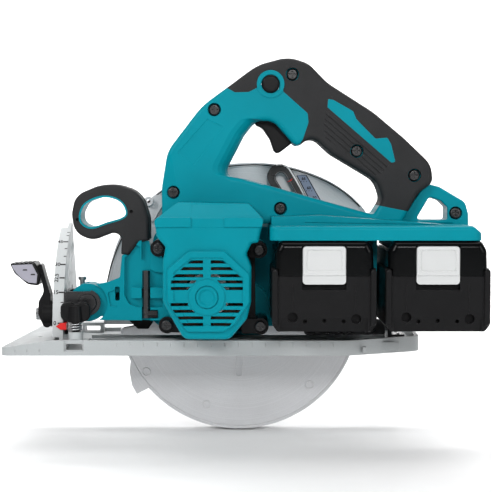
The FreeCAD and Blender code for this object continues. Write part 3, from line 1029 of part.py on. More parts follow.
skins = {"handle_grips": [], "handle_inserts": [], "handle_panels": []}
for side, turn in (("left", lambda s: s), ("right", mirrored)):
    half = turn(shell)
    for fill in ENVELOPES:
        half = half.cut(fill)
    half = half.cut(slab([(-70, 80), (-70, 100), (-45, 100), (-45, 80)], "xz", -200, 0))
    half = screw_holes(half, side == "left")
    put("handle_" + side, largest(half))
    skins["handle_grips"].append(largest(screw_holes(turn(grip), side == "left")))
    skins["handle_inserts"].append(largest(turn(insert)))
    skins["handle_panels"].append(largest(screw_holes(turn(panel), side == "left")))
for name, pair in skins.items():
    put(name, Part.makeCompound(pair))
screws += [screw_y(x, z, HANDLE_Y + 9, (HANDLE_Y - 13 + 3.5) if x > 150 else SEAT) for x,
           z in HANDLE_SCREWS]
put("body_screws", Part.makeCompound(screws))

# trigger, switch and lock-off button
tx, tz = TRIGGER_PIVOT
trigger = slab([(12.5, 170.6, 2), (17.7, 168.3, 8), (23.4, 160, 9), (26.2, 151.6, 2), (28.5, 149.3, 2),
                (31.5, 150.3, 3),
                (40.2, 157.0, 3), (38, 172, 3), (22, 186, 3), (12.5, 186, 3)], "xz",
               HANDLE_Y - TRIGGER_HALF, HANDLE_Y + TRIGGER_HALF)
trigger = soften(trigger, on_level(trigger, "y", HANDLE_Y - TRIGGER_HALF) +
                 on_level(trigger, "y", HANDLE_Y + TRIGGER_HALF), 1.6, 1.0, 0.6)
axle = rod_y(tx, tz, 2.0, HANDLE_Y - TRIGGER_HALF - 3.0, HANDLE_Y + TRIGGER_HALF + 3.0)
put("trigger", trigger.fuse(axle))
put("switch_body", box((47.5, 60.5), (HANDLE_Y - TRIGGER_HALF, HANDLE_Y + TRIGGER_HALF), (168, 184)))
button = rod_y(LOCK_OFF_X, LOCK_OFF_Z, 6.6, near - 3.0, HANDLE_Y + HANDLE_HALF + 0.2)
button = soften(button, on_level(button, "y", near - 3.0), 2.0, 1.2)
put("lock_off_button", button)

# ---- battery housing and packs -------------------------------------------------------------------
RAIL_HALF, NECK_HALF, GUIDE_HALF = 28.0, 22.0, 31.4
RAIL_Z = 79.5  # top of a pack behind its front lip
LIP_DEPTH = 12.0


def rail():
    """The T-shaped rail on a pack's back, about the pack's own middle."""
    y = (PACK_FACE_Y + LIP_DEPTH - 1, PACK_FACE_Y + PACK_L - 8)
    neck = box((-NECK_HALF, NECK_HALF), y, (RAIL_Z - 0.5, RAIL_Z + 3.5))
    return neck.fuse(box((-RAIL_HALF, RAIL_HALF), y, (RAIL_Z + 2.5, RAIL_Z + 6.0)))


def guides(x):
    """The two hooked guides under the deck that hold a pack's rail."""
    y = (PACK_FACE_Y + LIP_DEPTH + 0.6, -39)
    low = RAIL_Z + 0.8
    whole = []
    for side in (-1, 1):
        reach = sorted((side * (RAIL_HALF + PACK_GAP), side * GUIDE_HALF))
        lip = sorted((side * (NECK_HALF + PACK_GAP), side * GUIDE_HALF))
        wall = box((x + reach[0], x + reach[1]), y, (low, DECK_Z[0] + 0.5))
        whole.append(wall.fuse(box((x + lip[0], x + lip[1]), y, (low, RAIL_Z + 2.5 - PACK_GAP))))
    return whole


def battery_housing():
    whole = deck_fill
    for x in PACK_X:
        whole = whole.cut(box((x - 21, x + 21), (-136, -47), (DECK_Z[0] - 1, DECK_Z[1] - 3.5)))
        for guide in guides(x):
            whole = whole.fuse(guide)
    middle = (PACK_X[0] + PACK_X[1]) / 2
    whole = whole.fuse(box((middle - 1.6, middle + 1.6), (PACK_FACE_Y + 50, -40), (36, DECK_Z[0] + 0.5)))
    groove = slab([(48, 98.6), (48, 99.2), (150, 97.6), (150, 97.0)], "xz", -129, -127.4)
    whole = whole.cut(motor_fill).cut(groove)
    for x, z in HANDLE_SCREWS:
        whole = whole.cut(rod_y(x, z, 2.1, HANDLE_Y - 20, HANDLE_Y + 12))
    return whole


put("battery_housing", largest(battery_housing()))
blocks, blades = [], []
for x in PACK_X:
    block = box((x - 20, x + 20), (-45, -39), (RAIL_Z + 0.9, DECK_Z[0]))
    for dx in (-12, 12):
        blade = box((x + dx - 0.5, x + dx + 0.5), (-58, -40), (RAIL_Z + 1.5, RAIL_Z + 5.4))
        block = block.cut(blade)
        blades.append(blade)
    blocks.append(block)
put("battery_terminals", Part.makeCompound(blocks + blades))


def pack_outline(grow, low, high):
    w = PACK_W / 2 - 1.0 + grow
    return [(-w, high), (-w, low + 5), (-w + 3.5, low), (w - 3.5, low), (w, low + 5), (w, high)]


SEAM_Z = 62.0
PACK_TOP_Z = DECK_Z[0] - 0.4
PACK_LOW_Z = PACK_TOP_Z - PACK_H + 0.4
BUTTON_HALF, BUTTON_Z = 15.2, (56.2, 83.0)
BUTTON_DROP = 3.5


def battery(name, x):
    face, back = PACK_FACE_Y, PACK_FACE_Y + PACK_L
    low = slab(pack_outline(0, PACK_LOW_Z, SEAM_Z), "xz", face + 1.0, back)
    low = soften(low, on_level(low, "z", PACK_LOW_Z), 3.0, 2.0)
    low = low.cut(slab([(face - 1, 38), (face - 1, 18), (face + 6.5, 18)], "yz", -31.0, 31.0))
    for side in (-1, 1):
        rib = slab([(side * 32.2, 26, 1), (side * 36.9, 28, 2), (side * 36.9, 67, 2.2),
                    (side * 32.4, 67, 2.2)],
                   "xz", face - 1.0, face + 8)
        rib = soften(rib, on_level(rib, "y", face - 1.0), 1.4, 0.8)
        flank = sorted((side * 33.6, side * 36.9))
        low = low.fuse(rib).fuse(box(flank, (face + 7, back - 40), (30, 67)))
        low = low.fuse(box((side * 22 - 0.4, side * 22 + 0.4), (face + 0.5, face + 2), (38, 56)))
    for sx, sz, r in ((-22.2, 32.8, 3.6), (22.5, 31.7, 3.6), (-13.5, 29.9, 1.5), (0, 30.4, 1.5),
                      (13.7, 29.9, 1.5)):
        low = low.cut(rod_y(sx, sz, r, face - 1, face + 7.5))
    low = low.cut(box((-33.5, 33.5), (face + 9, back - 3), (PACK_LOW_Z + 3, SEAM_Z + 1)))
    top = slab([(-35.2, SEAM_Z), (-34.6, 80, 7), (-31, PACK_TOP_Z, 4), (31, PACK_TOP_Z, 4), (34.6, 80, 7),
                (35.2, SEAM_Z)], "xz", face, back)
    rim = [e for e in on_level(top, "y",
                               face) if e.BoundBox.ZMin > SEAM_Z - 0.1 and e.BoundBox.ZLength > 0.01]
    top = soften(top, rim, 5.0, 4.0, 3.0, 2.0, 1.0)
    top = top.cut(box((-40, 40), (face + LIP_DEPTH, back + 1), (RAIL_Z, PACK_TOP_Z + 5)))
    top = top.cut(slab([(-33, SEAM_Z - 1), (-32, 72), (-29, RAIL_Z - 3), (29, RAIL_Z - 3), (32, 72),
                        (33, SEAM_Z - 1)], "xz", face + 9.6, back - 3))
    for side in (-1, 1):
        for inner, rear in ((31.9, face + 8.2), (33.4, back - 39.8)):
            top = top.cut(box(sorted((side * inner, side * 38)), (face - 2, rear), (SEAM_Z - 1, 67.2)))
    top = top.fuse(rail())
    for dx in (-12, 12):
        top = top.cut(box((dx - 1.3, dx + 1.3), (back - 30, back + 1), (RAIL_Z + 0.7, RAIL_Z + 7)))
    pocket = box((-BUTTON_HALF - 0.4, BUTTON_HALF + 0.4), (face - 4, face + 7.2),
                 (BUTTON_Z[0] - BUTTON_DROP - 0.6, BUTTON_Z[1] + 0.4))
    top, low = top.cut(pocket), low.cut(pocket)
    press = slab([(-BUTTON_HALF, BUTTON_Z[0], 2.5), (-BUTTON_HALF, BUTTON_Z[1], 2.5),
                  (BUTTON_HALF, BUTTON_Z[1], 2.5), (BUTTON_HALF, BUTTON_Z[0], 2.5)], "xz", face - 1.2,
                  face + 6.8)
    press = soften(press, on_level(press, "y", face - 1.2), 1.2, 0.8)
    press = press.cut(box((-20, 20), (face - 2, face - 0.3), (BUTTON_Z[0] - 1, BUTTON_Z[0] + 6.4)))
    press = press.cut(slab([(-12.6, 65.4, 2), (-12.6, 80.6, 2), (12.6, 80.6, 2), (12.6, 65.4, 2)],
                           "xz", face - 2, face - 0.5))
    cells = []
    for row, z in enumerate((35.5, 54.3)):
        for k in range(5):
            y = back - 13.5 - 19.0 * k
            cells.append(rod_x(y, z, 9.1, -32.5, 32.5))
    placed = {"lower": low, "upper": top, "button": press, "cells": Part.makeCompound(cells)}
    for part, shape in placed.items():
        shape.translate(V(x, 0, 0))
        if part in ("lower", "upper"):
            shape = largest(shape)
        put("battery_%s_%s" % (name, part), shape)


battery("front", PACK_X[0])
battery("rear", PACK_X[1])

# ---- front grip ----------------------------------------------------------------------------------
FRONT_OUT = [(-124.4, 104, 16), (-121.5, 118, 20), (-97, 128.5, 34), (-72.5, 120.5, 26), (-66.6, 101, 20),
             (-66.6, 84.6, 1), (-74.4, 82.6, 1), (-82.2, 73.2, 1), (-87.6, 74.2, 1), (-86.6, 92.8, 8),
             (-108.6, 84.2, 14), (-122, 90, 14)]
FRONT_HOLE = [(-117.6, 104.6, 9), (-113.6, 112.6, 9), (-100, 117.6, 16), (-87, 113.8, 10),
              (-82.8, 104.6, 5),
              (-86.6, 101.0, 5), (-98, 98.0, 22), (-109.5, 93.6, 8), (-117.0, 97.6, 8)]
FRONT_Y = (-90.0, -60.0)
front = slab(FRONT_OUT, "xz", *FRONT_Y)
front = soften(front, on_level(front, "y", FRONT_Y[0]) + on_level(front, "y", FRONT_Y[1]), 6.0, 5.0, 4.0,
               3.0, 2.0)
hole_face = Part.Face(outline(FRONT_HOLE, "xz", FRONT_Y[0] + 2))
wide = hole_face.makeOffset2D(1.5, 0, False, False, True).extrude(V(0, FRONT_Y[1] - FRONT_Y[0] - 4, 0))
through = slab(FRONT_HOLE, "xz", FRONT_Y[0] - 1, FRONT_Y[1] + 1)
housing = parts["gear_housing"]
front_cover = front.cut(wide).cut(through).cut(housing)
front_core = wide.common(front).cut(through).cut(housing)
for x, z in ((-119.8, 100.0), (-79.6, 106.0)):
    front_cover = front_cover.cut(rod_y(x, z, 1.3, FRONT_Y[0] - 1, FRONT_Y[0] + 3))
put("front_grip_cover", largest(front_cover))
put("front_grip_core", largest(front_core))

# shaft lock: a plate pushed in towards the blade side
lock = slab([(-84.3, 21, 1), (-77.8, 14.8, 1.5), (-69.5, 14.8, 1.5), (-66.7, 19, 1), (-66.7, 22, 1),
             (-84.3, 22, 1)],
            "xz", -56, -38)
put("shaft_lock", lock)
controller = slab([(-48, 89.5, 1), (-48, 98, 1), (6, 98, 1), (6, 89.5, 1)], "xz", -134, -72)
put("motor_controller", controller)


os.makedirs("parts", exist_ok=True)
for name, shape in parts.items():
    shape.exportStep("parts/" + name + ".step")
print(len(parts), "parts")
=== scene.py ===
"""Looks of the cordless circular saw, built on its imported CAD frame.

Metres, in the CAD's own axes: -X is the front, -Y the motor side and +Z up. Every CAD node keeps
its mesh and gets a finish here. What CAD leaves out is added as thin pieces that ride on the
bodies: scale figures, strokes, bright and dark edges and small faces.
"""

import json
import math

import bmesh
import bpy
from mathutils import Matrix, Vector


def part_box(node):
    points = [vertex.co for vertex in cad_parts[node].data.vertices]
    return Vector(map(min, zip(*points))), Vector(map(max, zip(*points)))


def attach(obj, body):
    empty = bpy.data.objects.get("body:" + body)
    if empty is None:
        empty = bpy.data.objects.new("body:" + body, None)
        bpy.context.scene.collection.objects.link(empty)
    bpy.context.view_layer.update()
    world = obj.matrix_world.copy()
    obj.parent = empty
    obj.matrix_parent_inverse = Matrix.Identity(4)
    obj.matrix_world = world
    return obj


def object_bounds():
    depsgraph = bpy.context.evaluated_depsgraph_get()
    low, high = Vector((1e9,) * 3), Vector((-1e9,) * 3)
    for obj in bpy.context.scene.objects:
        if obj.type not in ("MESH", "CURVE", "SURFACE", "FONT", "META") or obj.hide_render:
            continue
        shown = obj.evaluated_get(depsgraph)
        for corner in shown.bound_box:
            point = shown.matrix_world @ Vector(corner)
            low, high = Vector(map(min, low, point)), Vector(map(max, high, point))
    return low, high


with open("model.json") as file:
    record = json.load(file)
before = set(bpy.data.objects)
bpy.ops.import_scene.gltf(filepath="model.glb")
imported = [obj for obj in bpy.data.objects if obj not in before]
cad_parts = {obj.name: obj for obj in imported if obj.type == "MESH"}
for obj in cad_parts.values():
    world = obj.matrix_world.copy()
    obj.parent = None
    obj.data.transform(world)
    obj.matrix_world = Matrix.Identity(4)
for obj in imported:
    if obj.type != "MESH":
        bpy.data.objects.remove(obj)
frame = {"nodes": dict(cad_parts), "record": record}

MM = 0.001
start_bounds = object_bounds()
nodes = frame["nodes"]
scene = bpy.context.scene


def place_of(node):
    low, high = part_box(node)
    return (Vector(low) + Vector(high)) / 2


def corner_of(node):
    """A node's frontmost, motor-side and highest limits, to a tenth of a millimetre."""
    low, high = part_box(node)
    return Vector((round(low[0] / MM, 1), round(low[1] / MM, 1), round(high[2] / MM, 1)))


ARBOR = place_of("spindle_gear")
ARBOR.y = 0.0

# ---- camera and light ----------------------------------------------------------------------------
EYE = Vector((0.0057, -1.130, 0.131))
AIM = Vector((0.0057, 0.0, 0.0760))


def aim(obj, target):
    obj.rotation_euler = (Vector(target) - obj.location).to_track_quat("-Z", "Y").to_euler()


def add_camera():
    data = bpy.data.cameras.new("camera")
    data.sensor_width = 36.0
    data.lens = 102.3
    data.clip_start = 0.05
    data.clip_end = 40.0
    camera = bpy.data.objects.new("camera", data)
    scene.collection.objects.link(camera)
    camera.location = EYE
    aim(camera, AIM)
    scene.camera = camera


def area_light(name, place, target, size, watts):
    data = bpy.data.lights.new(name, "AREA")
    data.shape = "RECTANGLE"
    data.size, data.size_y = size
    data.energy = watts
    lamp = bpy.data.objects.new(name, data)
    scene.collection.objects.link(lamp)
    lamp.location = place
    aim(lamp, target)


add_camera()
area_light("key", (-1.3, -1.6, 1.15), (0.0, 0.0, 0.09), (0.7, 0.7), 26.0)
area_light("front", (0.22, -2.4, 0.85), (0.0, 0.0, 0.12), (0.6, 0.4), 20.0)
area_light("fill", (1.7, -1.5, 0.75), (0.0, 0.0, 0.09), (0.6, 1.2), 14.0)
area_light("top", (0.1, -0.10, 2.3), (0.0, 0.0, 0.05), (2.2, 1.4), 26.0)
area_light("wall", (0.0, 1.2, 2.4), (0.0, 3.2, 0.4), (4.0, 1.0), 150.0)

world = bpy.data.worlds.new("studio")
scene.world = world
world.use_nodes = True
world.node_tree.nodes["Background"].inputs["Color"].default_value = (0.97, 0.98, 1.0, 1.0)
world.node_tree.nodes["Background"].inputs["Strength"].default_value = 0.13
scene.view_settings.view_transform = "Standard"

# ---- floor: one pale sheet that turns up into a wall behind the object ---------------------------
FLOOR_Z = start_bounds[0][2] - 0.0015
FLOOR_HALF = 7.0
FLOOR_FRONT = -7.0
BEND_R = 1.6
BEND_STEPS = 16
WALL_Y = 3.6
WALL_TOP = 6.0


def studio_sheet():
    profile = [(FLOOR_FRONT, 0.0)]
    for step in range(BEND_STEPS + 1):
        turn = math.radians(90.0 * step / BEND_STEPS)
        forward = WALL_Y - BEND_R + BEND_R * math.sin(turn)
        profile.append((forward, BEND_R - BEND_R * math.cos(turn)))
    profile.append((WALL_Y, WALL_TOP))
    points = [(side, y, FLOOR_Z + z) for y, z in profile for side in (-FLOOR_HALF, FLOOR_HALF)]
    faces = [(2 * i, 2 * i + 1, 2 * i + 3, 2 * i + 2) for i in range(len(profile) - 1)]
    mesh = bpy.data.meshes.new("floor")
    mesh.from_pydata(points, [], faces)
    for face in mesh.polygons:
        face.use_smooth = True
    sheet = bpy.data.objects.new("floor", mesh)
    scene.collection.objects.link(sheet)
    return sheet


floor = studio_sheet()


# ---- material building blocks --------------------------------------------------------------------
class Finish:
    """A node material under construction, with short calls for the patterns finishes share."""

    def __init__(self, name):
        self.material = bpy.data.materials.new(name)
        self.material.use_nodes = True
        self.tree = self.material.node_tree
        self.shader = self.tree.nodes["Principled BSDF"]
        self.coords = self.tree.nodes.new("ShaderNodeTexCoord")

    def link(self, source, target):
        self.tree.links.new(source, target)
        return source

    def noise(self, scale, detail=3.0, rough=0.55, stretch=(1.0, 1.0, 1.0)):
        """Cloudy noise over the object's own coordinates; scale counts features per metre."""
        mapping = self.tree.nodes.new("ShaderNodeMapping")
        mapping.inputs["Scale"].default_value = stretch
        self.link(self.coords.outputs["Object"], mapping.inputs["Vector"])
        texture = self.tree.nodes.new("ShaderNodeTexNoise")
        texture.inputs["Scale"].default_value = scale
        texture.inputs["Detail"].default_value = detail
        texture.inputs["Roughness"].default_value = rough
        self.link(mapping.outputs["Vector"], texture.inputs["Vector"])
        return texture.outputs["Fac"]

    def pits(self, scale):
        """Distance to scattered points, for a pebbled grain."""
        texture = self.tree.nodes.new("ShaderNodeTexVoronoi")
        texture.inputs["Scale"].default_value = scale
        self.link(self.coords.outputs["Object"], texture.inputs["Vector"])
        return texture.outputs["Distance"]

    def rings(self, centre, scale):
        """Noise that changes only with the distance from a Y axis, as on turned metal."""
        flat = self.tree.nodes.new("ShaderNodeMapping")
        flat.inputs["Location"].default_value = (-centre.x, 0.0, -centre.z)
        flat.inputs["Scale"].default_value = (1.0, 0.0, 1.0)
        self.link(self.coords.outputs["Object"], flat.inputs["Vector"])
        length = self.tree.nodes.new("ShaderNodeVectorMath")
        length.operation = "LENGTH"
        self.link(flat.outputs["Vector"], length.inputs[0])
        texture = self.tree.nodes.new("ShaderNodeTexNoise")
        texture.noise_dimensions = "1D"
        texture.inputs["Scale"].default_value = scale
        texture.inputs["Detail"].default_value = 4.0
        self.link(length.outputs["Value"], texture.inputs["W"])
        return texture.outputs["Fac"]

    def spread(self, source, low, high, start=0.3, end=0.7):
        node = self.tree.nodes.new("ShaderNodeMapRange")
        limits = (("From Min", start), ("From Max", end), ("To Min", low), ("To Max", high))
        for key, value in limits:
            node.inputs[key].default_value = value
        self.link(source, node.inputs["Value"])
        return node.outputs["Result"]

    def blend(self, factor, first, second):
        """Mixes two colours, each a plain colour or a socket."""
        node = self.tree.nodes.new("ShaderNodeMix")
        node.data_type = "RGBA"
        for key, value in (("A", first), ("B", second)):
            socket = [s for s in node.inputs if s.name == key and s.type == "RGBA"][0]
            if isinstance(value, tuple):
                socket.default_value = (*value, 1.0)
            else:
                self.link(value, socket)
        self.link(factor, [s for s in node.inputs if s.name == "Factor" and s.type == "VALUE"][0])
        return [s for s in node.outputs if s.type == "RGBA"][0]

    def edge_normal(self, radius):
        node = self.tree.nodes.new("ShaderNodeBevel")
        node.samples = 4
        node.inputs["Radius"].default_value = radius
        return node.outputs["Normal"]

    def edges(self, rounded, start=0.02, end=0.25):
        """How far the softened normal leans from the true one: near 1 on edges, which the finishes
        lighten for wear and for painted highlight.
        """
        geometry = self.tree.nodes.new("ShaderNodeNewGeometry")
        dot = self.tree.nodes.new("ShaderNodeVectorMath")
        dot.operation = "DOT_PRODUCT"
        self.link(geometry.outputs["True Normal"], dot.inputs[0])
        self.link(rounded, dot.inputs[1])
        return self.spread(dot.outputs["Value"], 1.0, 0.0, 1.0 - end, 1.0 - start)

    def relief(self, height, depth, strength, normal=None):
        node = self.tree.nodes.new("ShaderNodeBump")
        node.inputs["Strength"].default_value = strength
        node.inputs["Distance"].default_value = depth
        self.link(height, node.inputs["Height"])
        if normal is not None:
            self.link(normal, node.inputs["Normal"])
        return node.outputs["Normal"]

    def set(self, **values):
        for key, value in values.items():
            self.shader.inputs[key.replace("_", " ")].default_value = value

    def finish(self, color, roughness, normal):
        self.link(color, self.shader.inputs["Base Color"])
        self.link(roughness, self.shader.inputs["Roughness"])
        self.link(normal, self.shader.inputs["Normal"])
        return self.material


def shade(color, factor):
    return tuple(min(1.0, c * factor) for c in color)


EDGE_R = 0.5 * MM


def moulded(name, color, rough, grain_scale, grain_depth, edge_wear_and_highlight=None, clouds=0.08, metallic=0.0,
            specular=0.3):
    """Moulded plastic: fine spark-eroded grain, faint clouds of colour, edges lighter as wear and
    painted highlight.
    """
    f = Finish(name)
    cloud = f.spread(f.noise(26.0, 4.0), 0.0, 1.0)
    base = f.blend(cloud, shade(color, 1.0 - clouds), shade(color, 1.0 + clouds))
    rounded = f.edge_normal(EDGE_R)
    scuffs = f.spread(f.noise(310.0, 5.0, 0.7), 0.0, 1.0, 0.52, 0.68)
    # lighter edges: partly wear, partly painted highlight along the edges
    base = f.blend(f.edges(rounded), base, edge_wear_and_highlight or shade(color, 1.35))
    sheen = f.spread(f.noise(90.0, 6.0, 0.65), rough - 0.07, rough + 0.07)
    sheen_worn = f.tree.nodes.new("ShaderNodeMath")
    sheen_worn.operation = "MULTIPLY_ADD"
    f.link(scuffs, sheen_worn.inputs[0])
    sheen_worn.inputs[1].default_value = 0.06
    f.link(sheen, sheen_worn.inputs[2])
    normal = f.relief(f.noise(grain_scale, 2.0, 0.6), grain_depth, 0.55, rounded)
    f.set(Metallic=metallic, Specular_IOR_Level=specular)
    return f.finish(base, sheen_worn.outputs["Value"], normal)


def rubber(name, color, pebble):
    """Soft overmoulding: a pebbled grain, with painted highlights on the crowns of its fine relief.
    """
    f = Finish(name)
    grain = f.pits(pebble)
    fine = f.noise(pebble * 1.9, 3.0, 0.7)
    # painted highlight: lighter where the fine relief stands high
    crown_glint = f.spread(fine, 0.0, 1.0, 0.45, 0.75)
    base = f.blend(crown_glint, shade(color, 0.75), shade(color, 1.6))
    rounded = f.edge_normal(EDGE_R)
    # lighter edges: partly wear, partly painted highlight along the edges
    base = f.blend(f.edges(rounded), base, shade(color, 1.9))
    sheen = f.spread(f.noise(55.0, 5.0), 0.56, 0.72)
    normal = f.relief(fine, 0.00005, 0.5, f.relief(grain, 0.00010, 0.6, rounded))
    f.set(Specular_IOR_Level=0.18)
    return f.finish(base, sheen, normal)


def gloss(name, color):
    """Polished black plastic with faint wiping marks."""
    f = Finish(name)
    base = f.blend(f.spread(f.noise(40.0), 0.0, 1.0), shade(color, 0.8), shade(color, 1.3))
    rounded = f.edge_normal(EDGE_R)
    # lighter edges: partly wear, partly painted highlight along the edges
    base = f.blend(f.edges(rounded), base, shade(color, 2.2))
    wipes = f.noise(120.0, 6.0, 0.7, (1.0, 1.0, 5.0))
    normal = f.relief(f.noise(70.0, 2.0), 0.00008, 0.12, rounded)
    f.set(Specular_IOR_Level=0.10)
    return f.finish(base, f.spread(wipes, 0.10, 0.24), normal)


def cast_metal(name, color, bare, rough, metallic, ring_share):
    """Cast and shot-blasted metal, rubbed bare on its edges, with faint rings round the arbor."""
    f = Finish(name)
    blotch = f.spread(f.noise(18.0, 5.0, 0.6), 0.0, 1.0)
    base = f.blend(blotch, shade(color, 0.94), shade(color, 1.05))
    specks = f.spread(f.noise(1500.0, 2.0, 0.6), 0.0, 0.35, 0.5, 0.75)
    base = f.blend(specks, base, shade(color, 0.72))
    rings = f.spread(f.rings(ARBOR, 900.0), 0.0, ring_share, 0.45, 0.7)
    base = f.blend(rings, base, shade(color, 1.18))
    rounded = f.edge_normal(EDGE_R)
    base = f.blend(f.edges(rounded), base, bare)
    sheen = f.spread(f.noise(70.0, 6.0, 0.65), rough - 0.08, rough + 0.08)
    normal = f.relief(f.noise(1300.0, 3.0, 0.65), 0.00006, 0.4, rounded)
    f.set(Metallic=metallic, Specular_IOR_Level=0.4)
    return f.finish(base, sheen, normal)


def machined(name, color, rough, grain=(1.0, 9.0, 1.0), metallic=0.9, edge_wear_and_highlight=None):
    """Ground or turned metal with fine drawn lines."""
    f = Finish(name)
    lines = f.noise(1900.0, 3.0, 0.6, grain)
    base = f.blend(f.spread(lines, 0.0, 1.0), shade(color, 0.86), shade(color, 1.08))
    rounded = f.edge_normal(EDGE_R * 0.6)
    # lighter edges: partly wear, partly painted highlight along the edges
    base = f.blend(f.edges(rounded), base, edge_wear_and_highlight or shade(color, 1.5))
    sheen = f.spread(f.noise(160.0, 5.0), rough - 0.07, rough + 0.09)
    normal = f.relief(lines, 0.00002, 0.4, rounded)
    f.set(Metallic=metallic)
    return f.finish(base, sheen, normal)


TEAL = (0.0, 0.200, 0.252)
LOOKS = {
    "magnesium": cast_metal("magnesium", (0.46, 0.48, 0.485), (0.72, 0.73, 0.74), 0.42, 0.10, 0.0),
    "guard_metal": cast_metal("guard_metal", (0.60, 0.605, 0.62), (0.74, 0.74, 0.75), 0.38, 0.25,
                              0.30),
    "teal": moulded("teal", TEAL, 0.38, 3200.0, 0.00003, (0.0, 0.30, 0.38), 0.05, 0.0, 0.06),
    "black_rubber": rubber("black_rubber", (0.020, 0.020, 0.021), 2100.0),
    "black_plastic": moulded("black_plastic", (0.006, 0.006, 0.0065), 0.34, 3000.0, 0.00004,
                             (0.020, 0.020, 0.021), 0.08, 0.0, 0.11),
    "black_gloss": gloss("black_gloss", (0.0015, 0.0018, 0.002)),
    "button_grey": moulded("button_grey", (0.50, 0.51, 0.51), 0.42, 3200.0, 0.00002,
                           (0.86, 0.87, 0.87), 0.02),
    "steel": machined("steel", (0.50, 0.51, 0.52), 0.30),
    # black steel: the much lighter edge colour is partly bare-steel wear and partly painted
    # highlight for light outlines on its edges
    "black_steel": machined("black_steel", (0.008, 0.008, 0.009), 0.30, (1.0, 1.0, 1.0), 0.0,
                            (0.10, 0.10, 0.105)),
    # painted highlight: grey line for light caught on the depth guide's slot rim
    "guide_rim": machined("guide_rim", (0.16, 0.16, 0.165), 0.35, (1.0, 1.0, 1.0), 0.3),
    "red_paint": moulded("red_paint", (0.62, 0.012, 0.010), 0.34, 2600.0, 0.00002),
    "label": moulded("label", (0.30, 0.36, 0.50), 0.34, 2600.0, 0.00001),
    # copper: stator windings, dark enamel darkened further as painted shade inside the motor
    # housing
    "copper": machined("copper", (0.10, 0.045, 0.025), 0.45, (1.0, 6.0, 1.0), 0.6),
}
floor_look = moulded("floor_look", (0.90, 0.90, 0.90), 0.85, 60.0, 0.0001, None, 0.01, 0.0, 0.1)
floor.data.materials.append(floor_look)

NODE_LOOKS = {
    "base_plate": cast_metal("base_plate", (0.36, 0.38, 0.385), (0.62, 0.63, 0.64), 0.45, 0.10,
                             0.0),
}

slot_of = {row["node"]: row["material_slot"] for row in frame["record"]["subparts"]}
for name, obj in nodes.items():
    look = NODE_LOOKS.get(name) or LOOKS[slot_of[name]]
    if not obj.data.materials:
        obj.data.materials.append(look)
    for i in range(len(obj.data.materials)):
        obj.data.materials[i] = look

# ---- thin pieces that ride on the bodies ---------------------------------------------------------
X_AXIS, Z_AXIS = Vector((1, 0, 0)), Vector((0, 0, 1))
PRINT_RISE = 0.12  # how far marks and edge lines stand above their surface, in millimetres
INK = moulded("ink", (0.018, 0.016, 0.016), 0.55, 3000.0, 0.00001)
PAD_GREY = moulded("pad_grey", (0.30, 0.295, 0.345), 0.38, 2800.0, 0.00002, (0.45, 0.45, 0.50),
                   0.05, 0.2)


class Plane:
    """A flat place on a surface: an origin in millimetres, and its u, v and outward directions."""

    def __init__(self, origin, u, v):
        self.origin, self.u, self.v = Vector(origin), Vector(u).normalized(), Vector(v).normalized()
        self.out = self.u.cross(self.v)

    def at(self, u, v, rise=0.0):
        return (self.origin + self.u * u + self.v * v + self.out * rise) * MM


def side_plane(y, x=0.0, z=0.0):
    """A plane that faces the motor side, with u to the rear and v up."""
    return Plane((x, y, z), X_AXIS, Z_AXIS)


def keep(name, mesh, body, look, rounding=0.0):
    """Makes an object of a mesh, rounds its edges and lets it ride on a body."""
    piece = bpy.data.objects.new(name, mesh)
    scene.collection.objects.link(piece)
    mesh.materials.clear()
    mesh.materials.append(look)
    if rounding:
        bevel = piece.modifiers.new("rounding", "BEVEL")
        bevel.width = rounding * MM
        bevel.segments = 2
        bevel.limit_method = "ANGLE"
    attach(piece, body)


def mesh_of(name, points, faces):
    mesh = bpy.data.meshes.new(name)
    mesh.from_pydata(points, [], faces)
    built = bmesh.new()
    built.from_mesh(mesh)
    bmesh.ops.recalc_face_normals(built, faces=built.faces)
    built.to_mesh(mesh)
    built.free()
    return mesh


def plaque(name, plane, corners, thick, body, look, rounding=0.0):
    """A thin plate with the given corners, standing on a plane."""
    n = len(corners)
    points = [plane.at(u, v, rise) for rise in (0.0, thick) for u, v in corners]
    faces = [tuple(range(n)), tuple(range(n, 2 * n))]
    faces += [(i, (i + 1) % n, (i + 1) % n + n, i + n) for i in range(n)]
    keep(name, mesh_of(name, points, faces), body, look, rounding)


def stroke(name, plane, corners, body):
    """A printed mark."""
    plaque(name, plane, corners, PRINT_RISE, body, INK)


def ribbon(name, plane, path, width, thick, body, look, closed=False):
    """A narrow strip of constant width along a path on a plane."""
    n = len(path)
    points = []
    for i in range(n):
        here = Vector(path[i])
        before = Vector(path[i - 1] if i or closed else path[i])
        after = Vector(path[(i + 1) % n] if i < n - 1 or closed else path[i])
        way = (after - before).normalized()
        side = Vector((-way.y, way.x)) * width / 2
        for rise in (0.0, thick):
            for sign in (-1, 1):
                edge = here + side * sign
                points.append(plane.at(edge.x, edge.y, rise))
    faces = []
    for i in range(n if closed else n - 1):
        a, b = 4 * i, 4 * ((i + 1) % n)
        faces += [(a + 2, a + 3, b + 3, b + 2), (a, a + 1, b + 1, b)]
        faces += [(a, a + 2, b + 2, b), (a + 1, a + 3, b + 3, b + 1)]
    if not closed:
        last = 4 * (n - 1)
        faces += [(0, 1, 3, 2), (last, last + 1, last + 3, last + 2)]
    keep(name, mesh_of(name, points, faces), body, look)


FIGURE_BOLD = 0.10


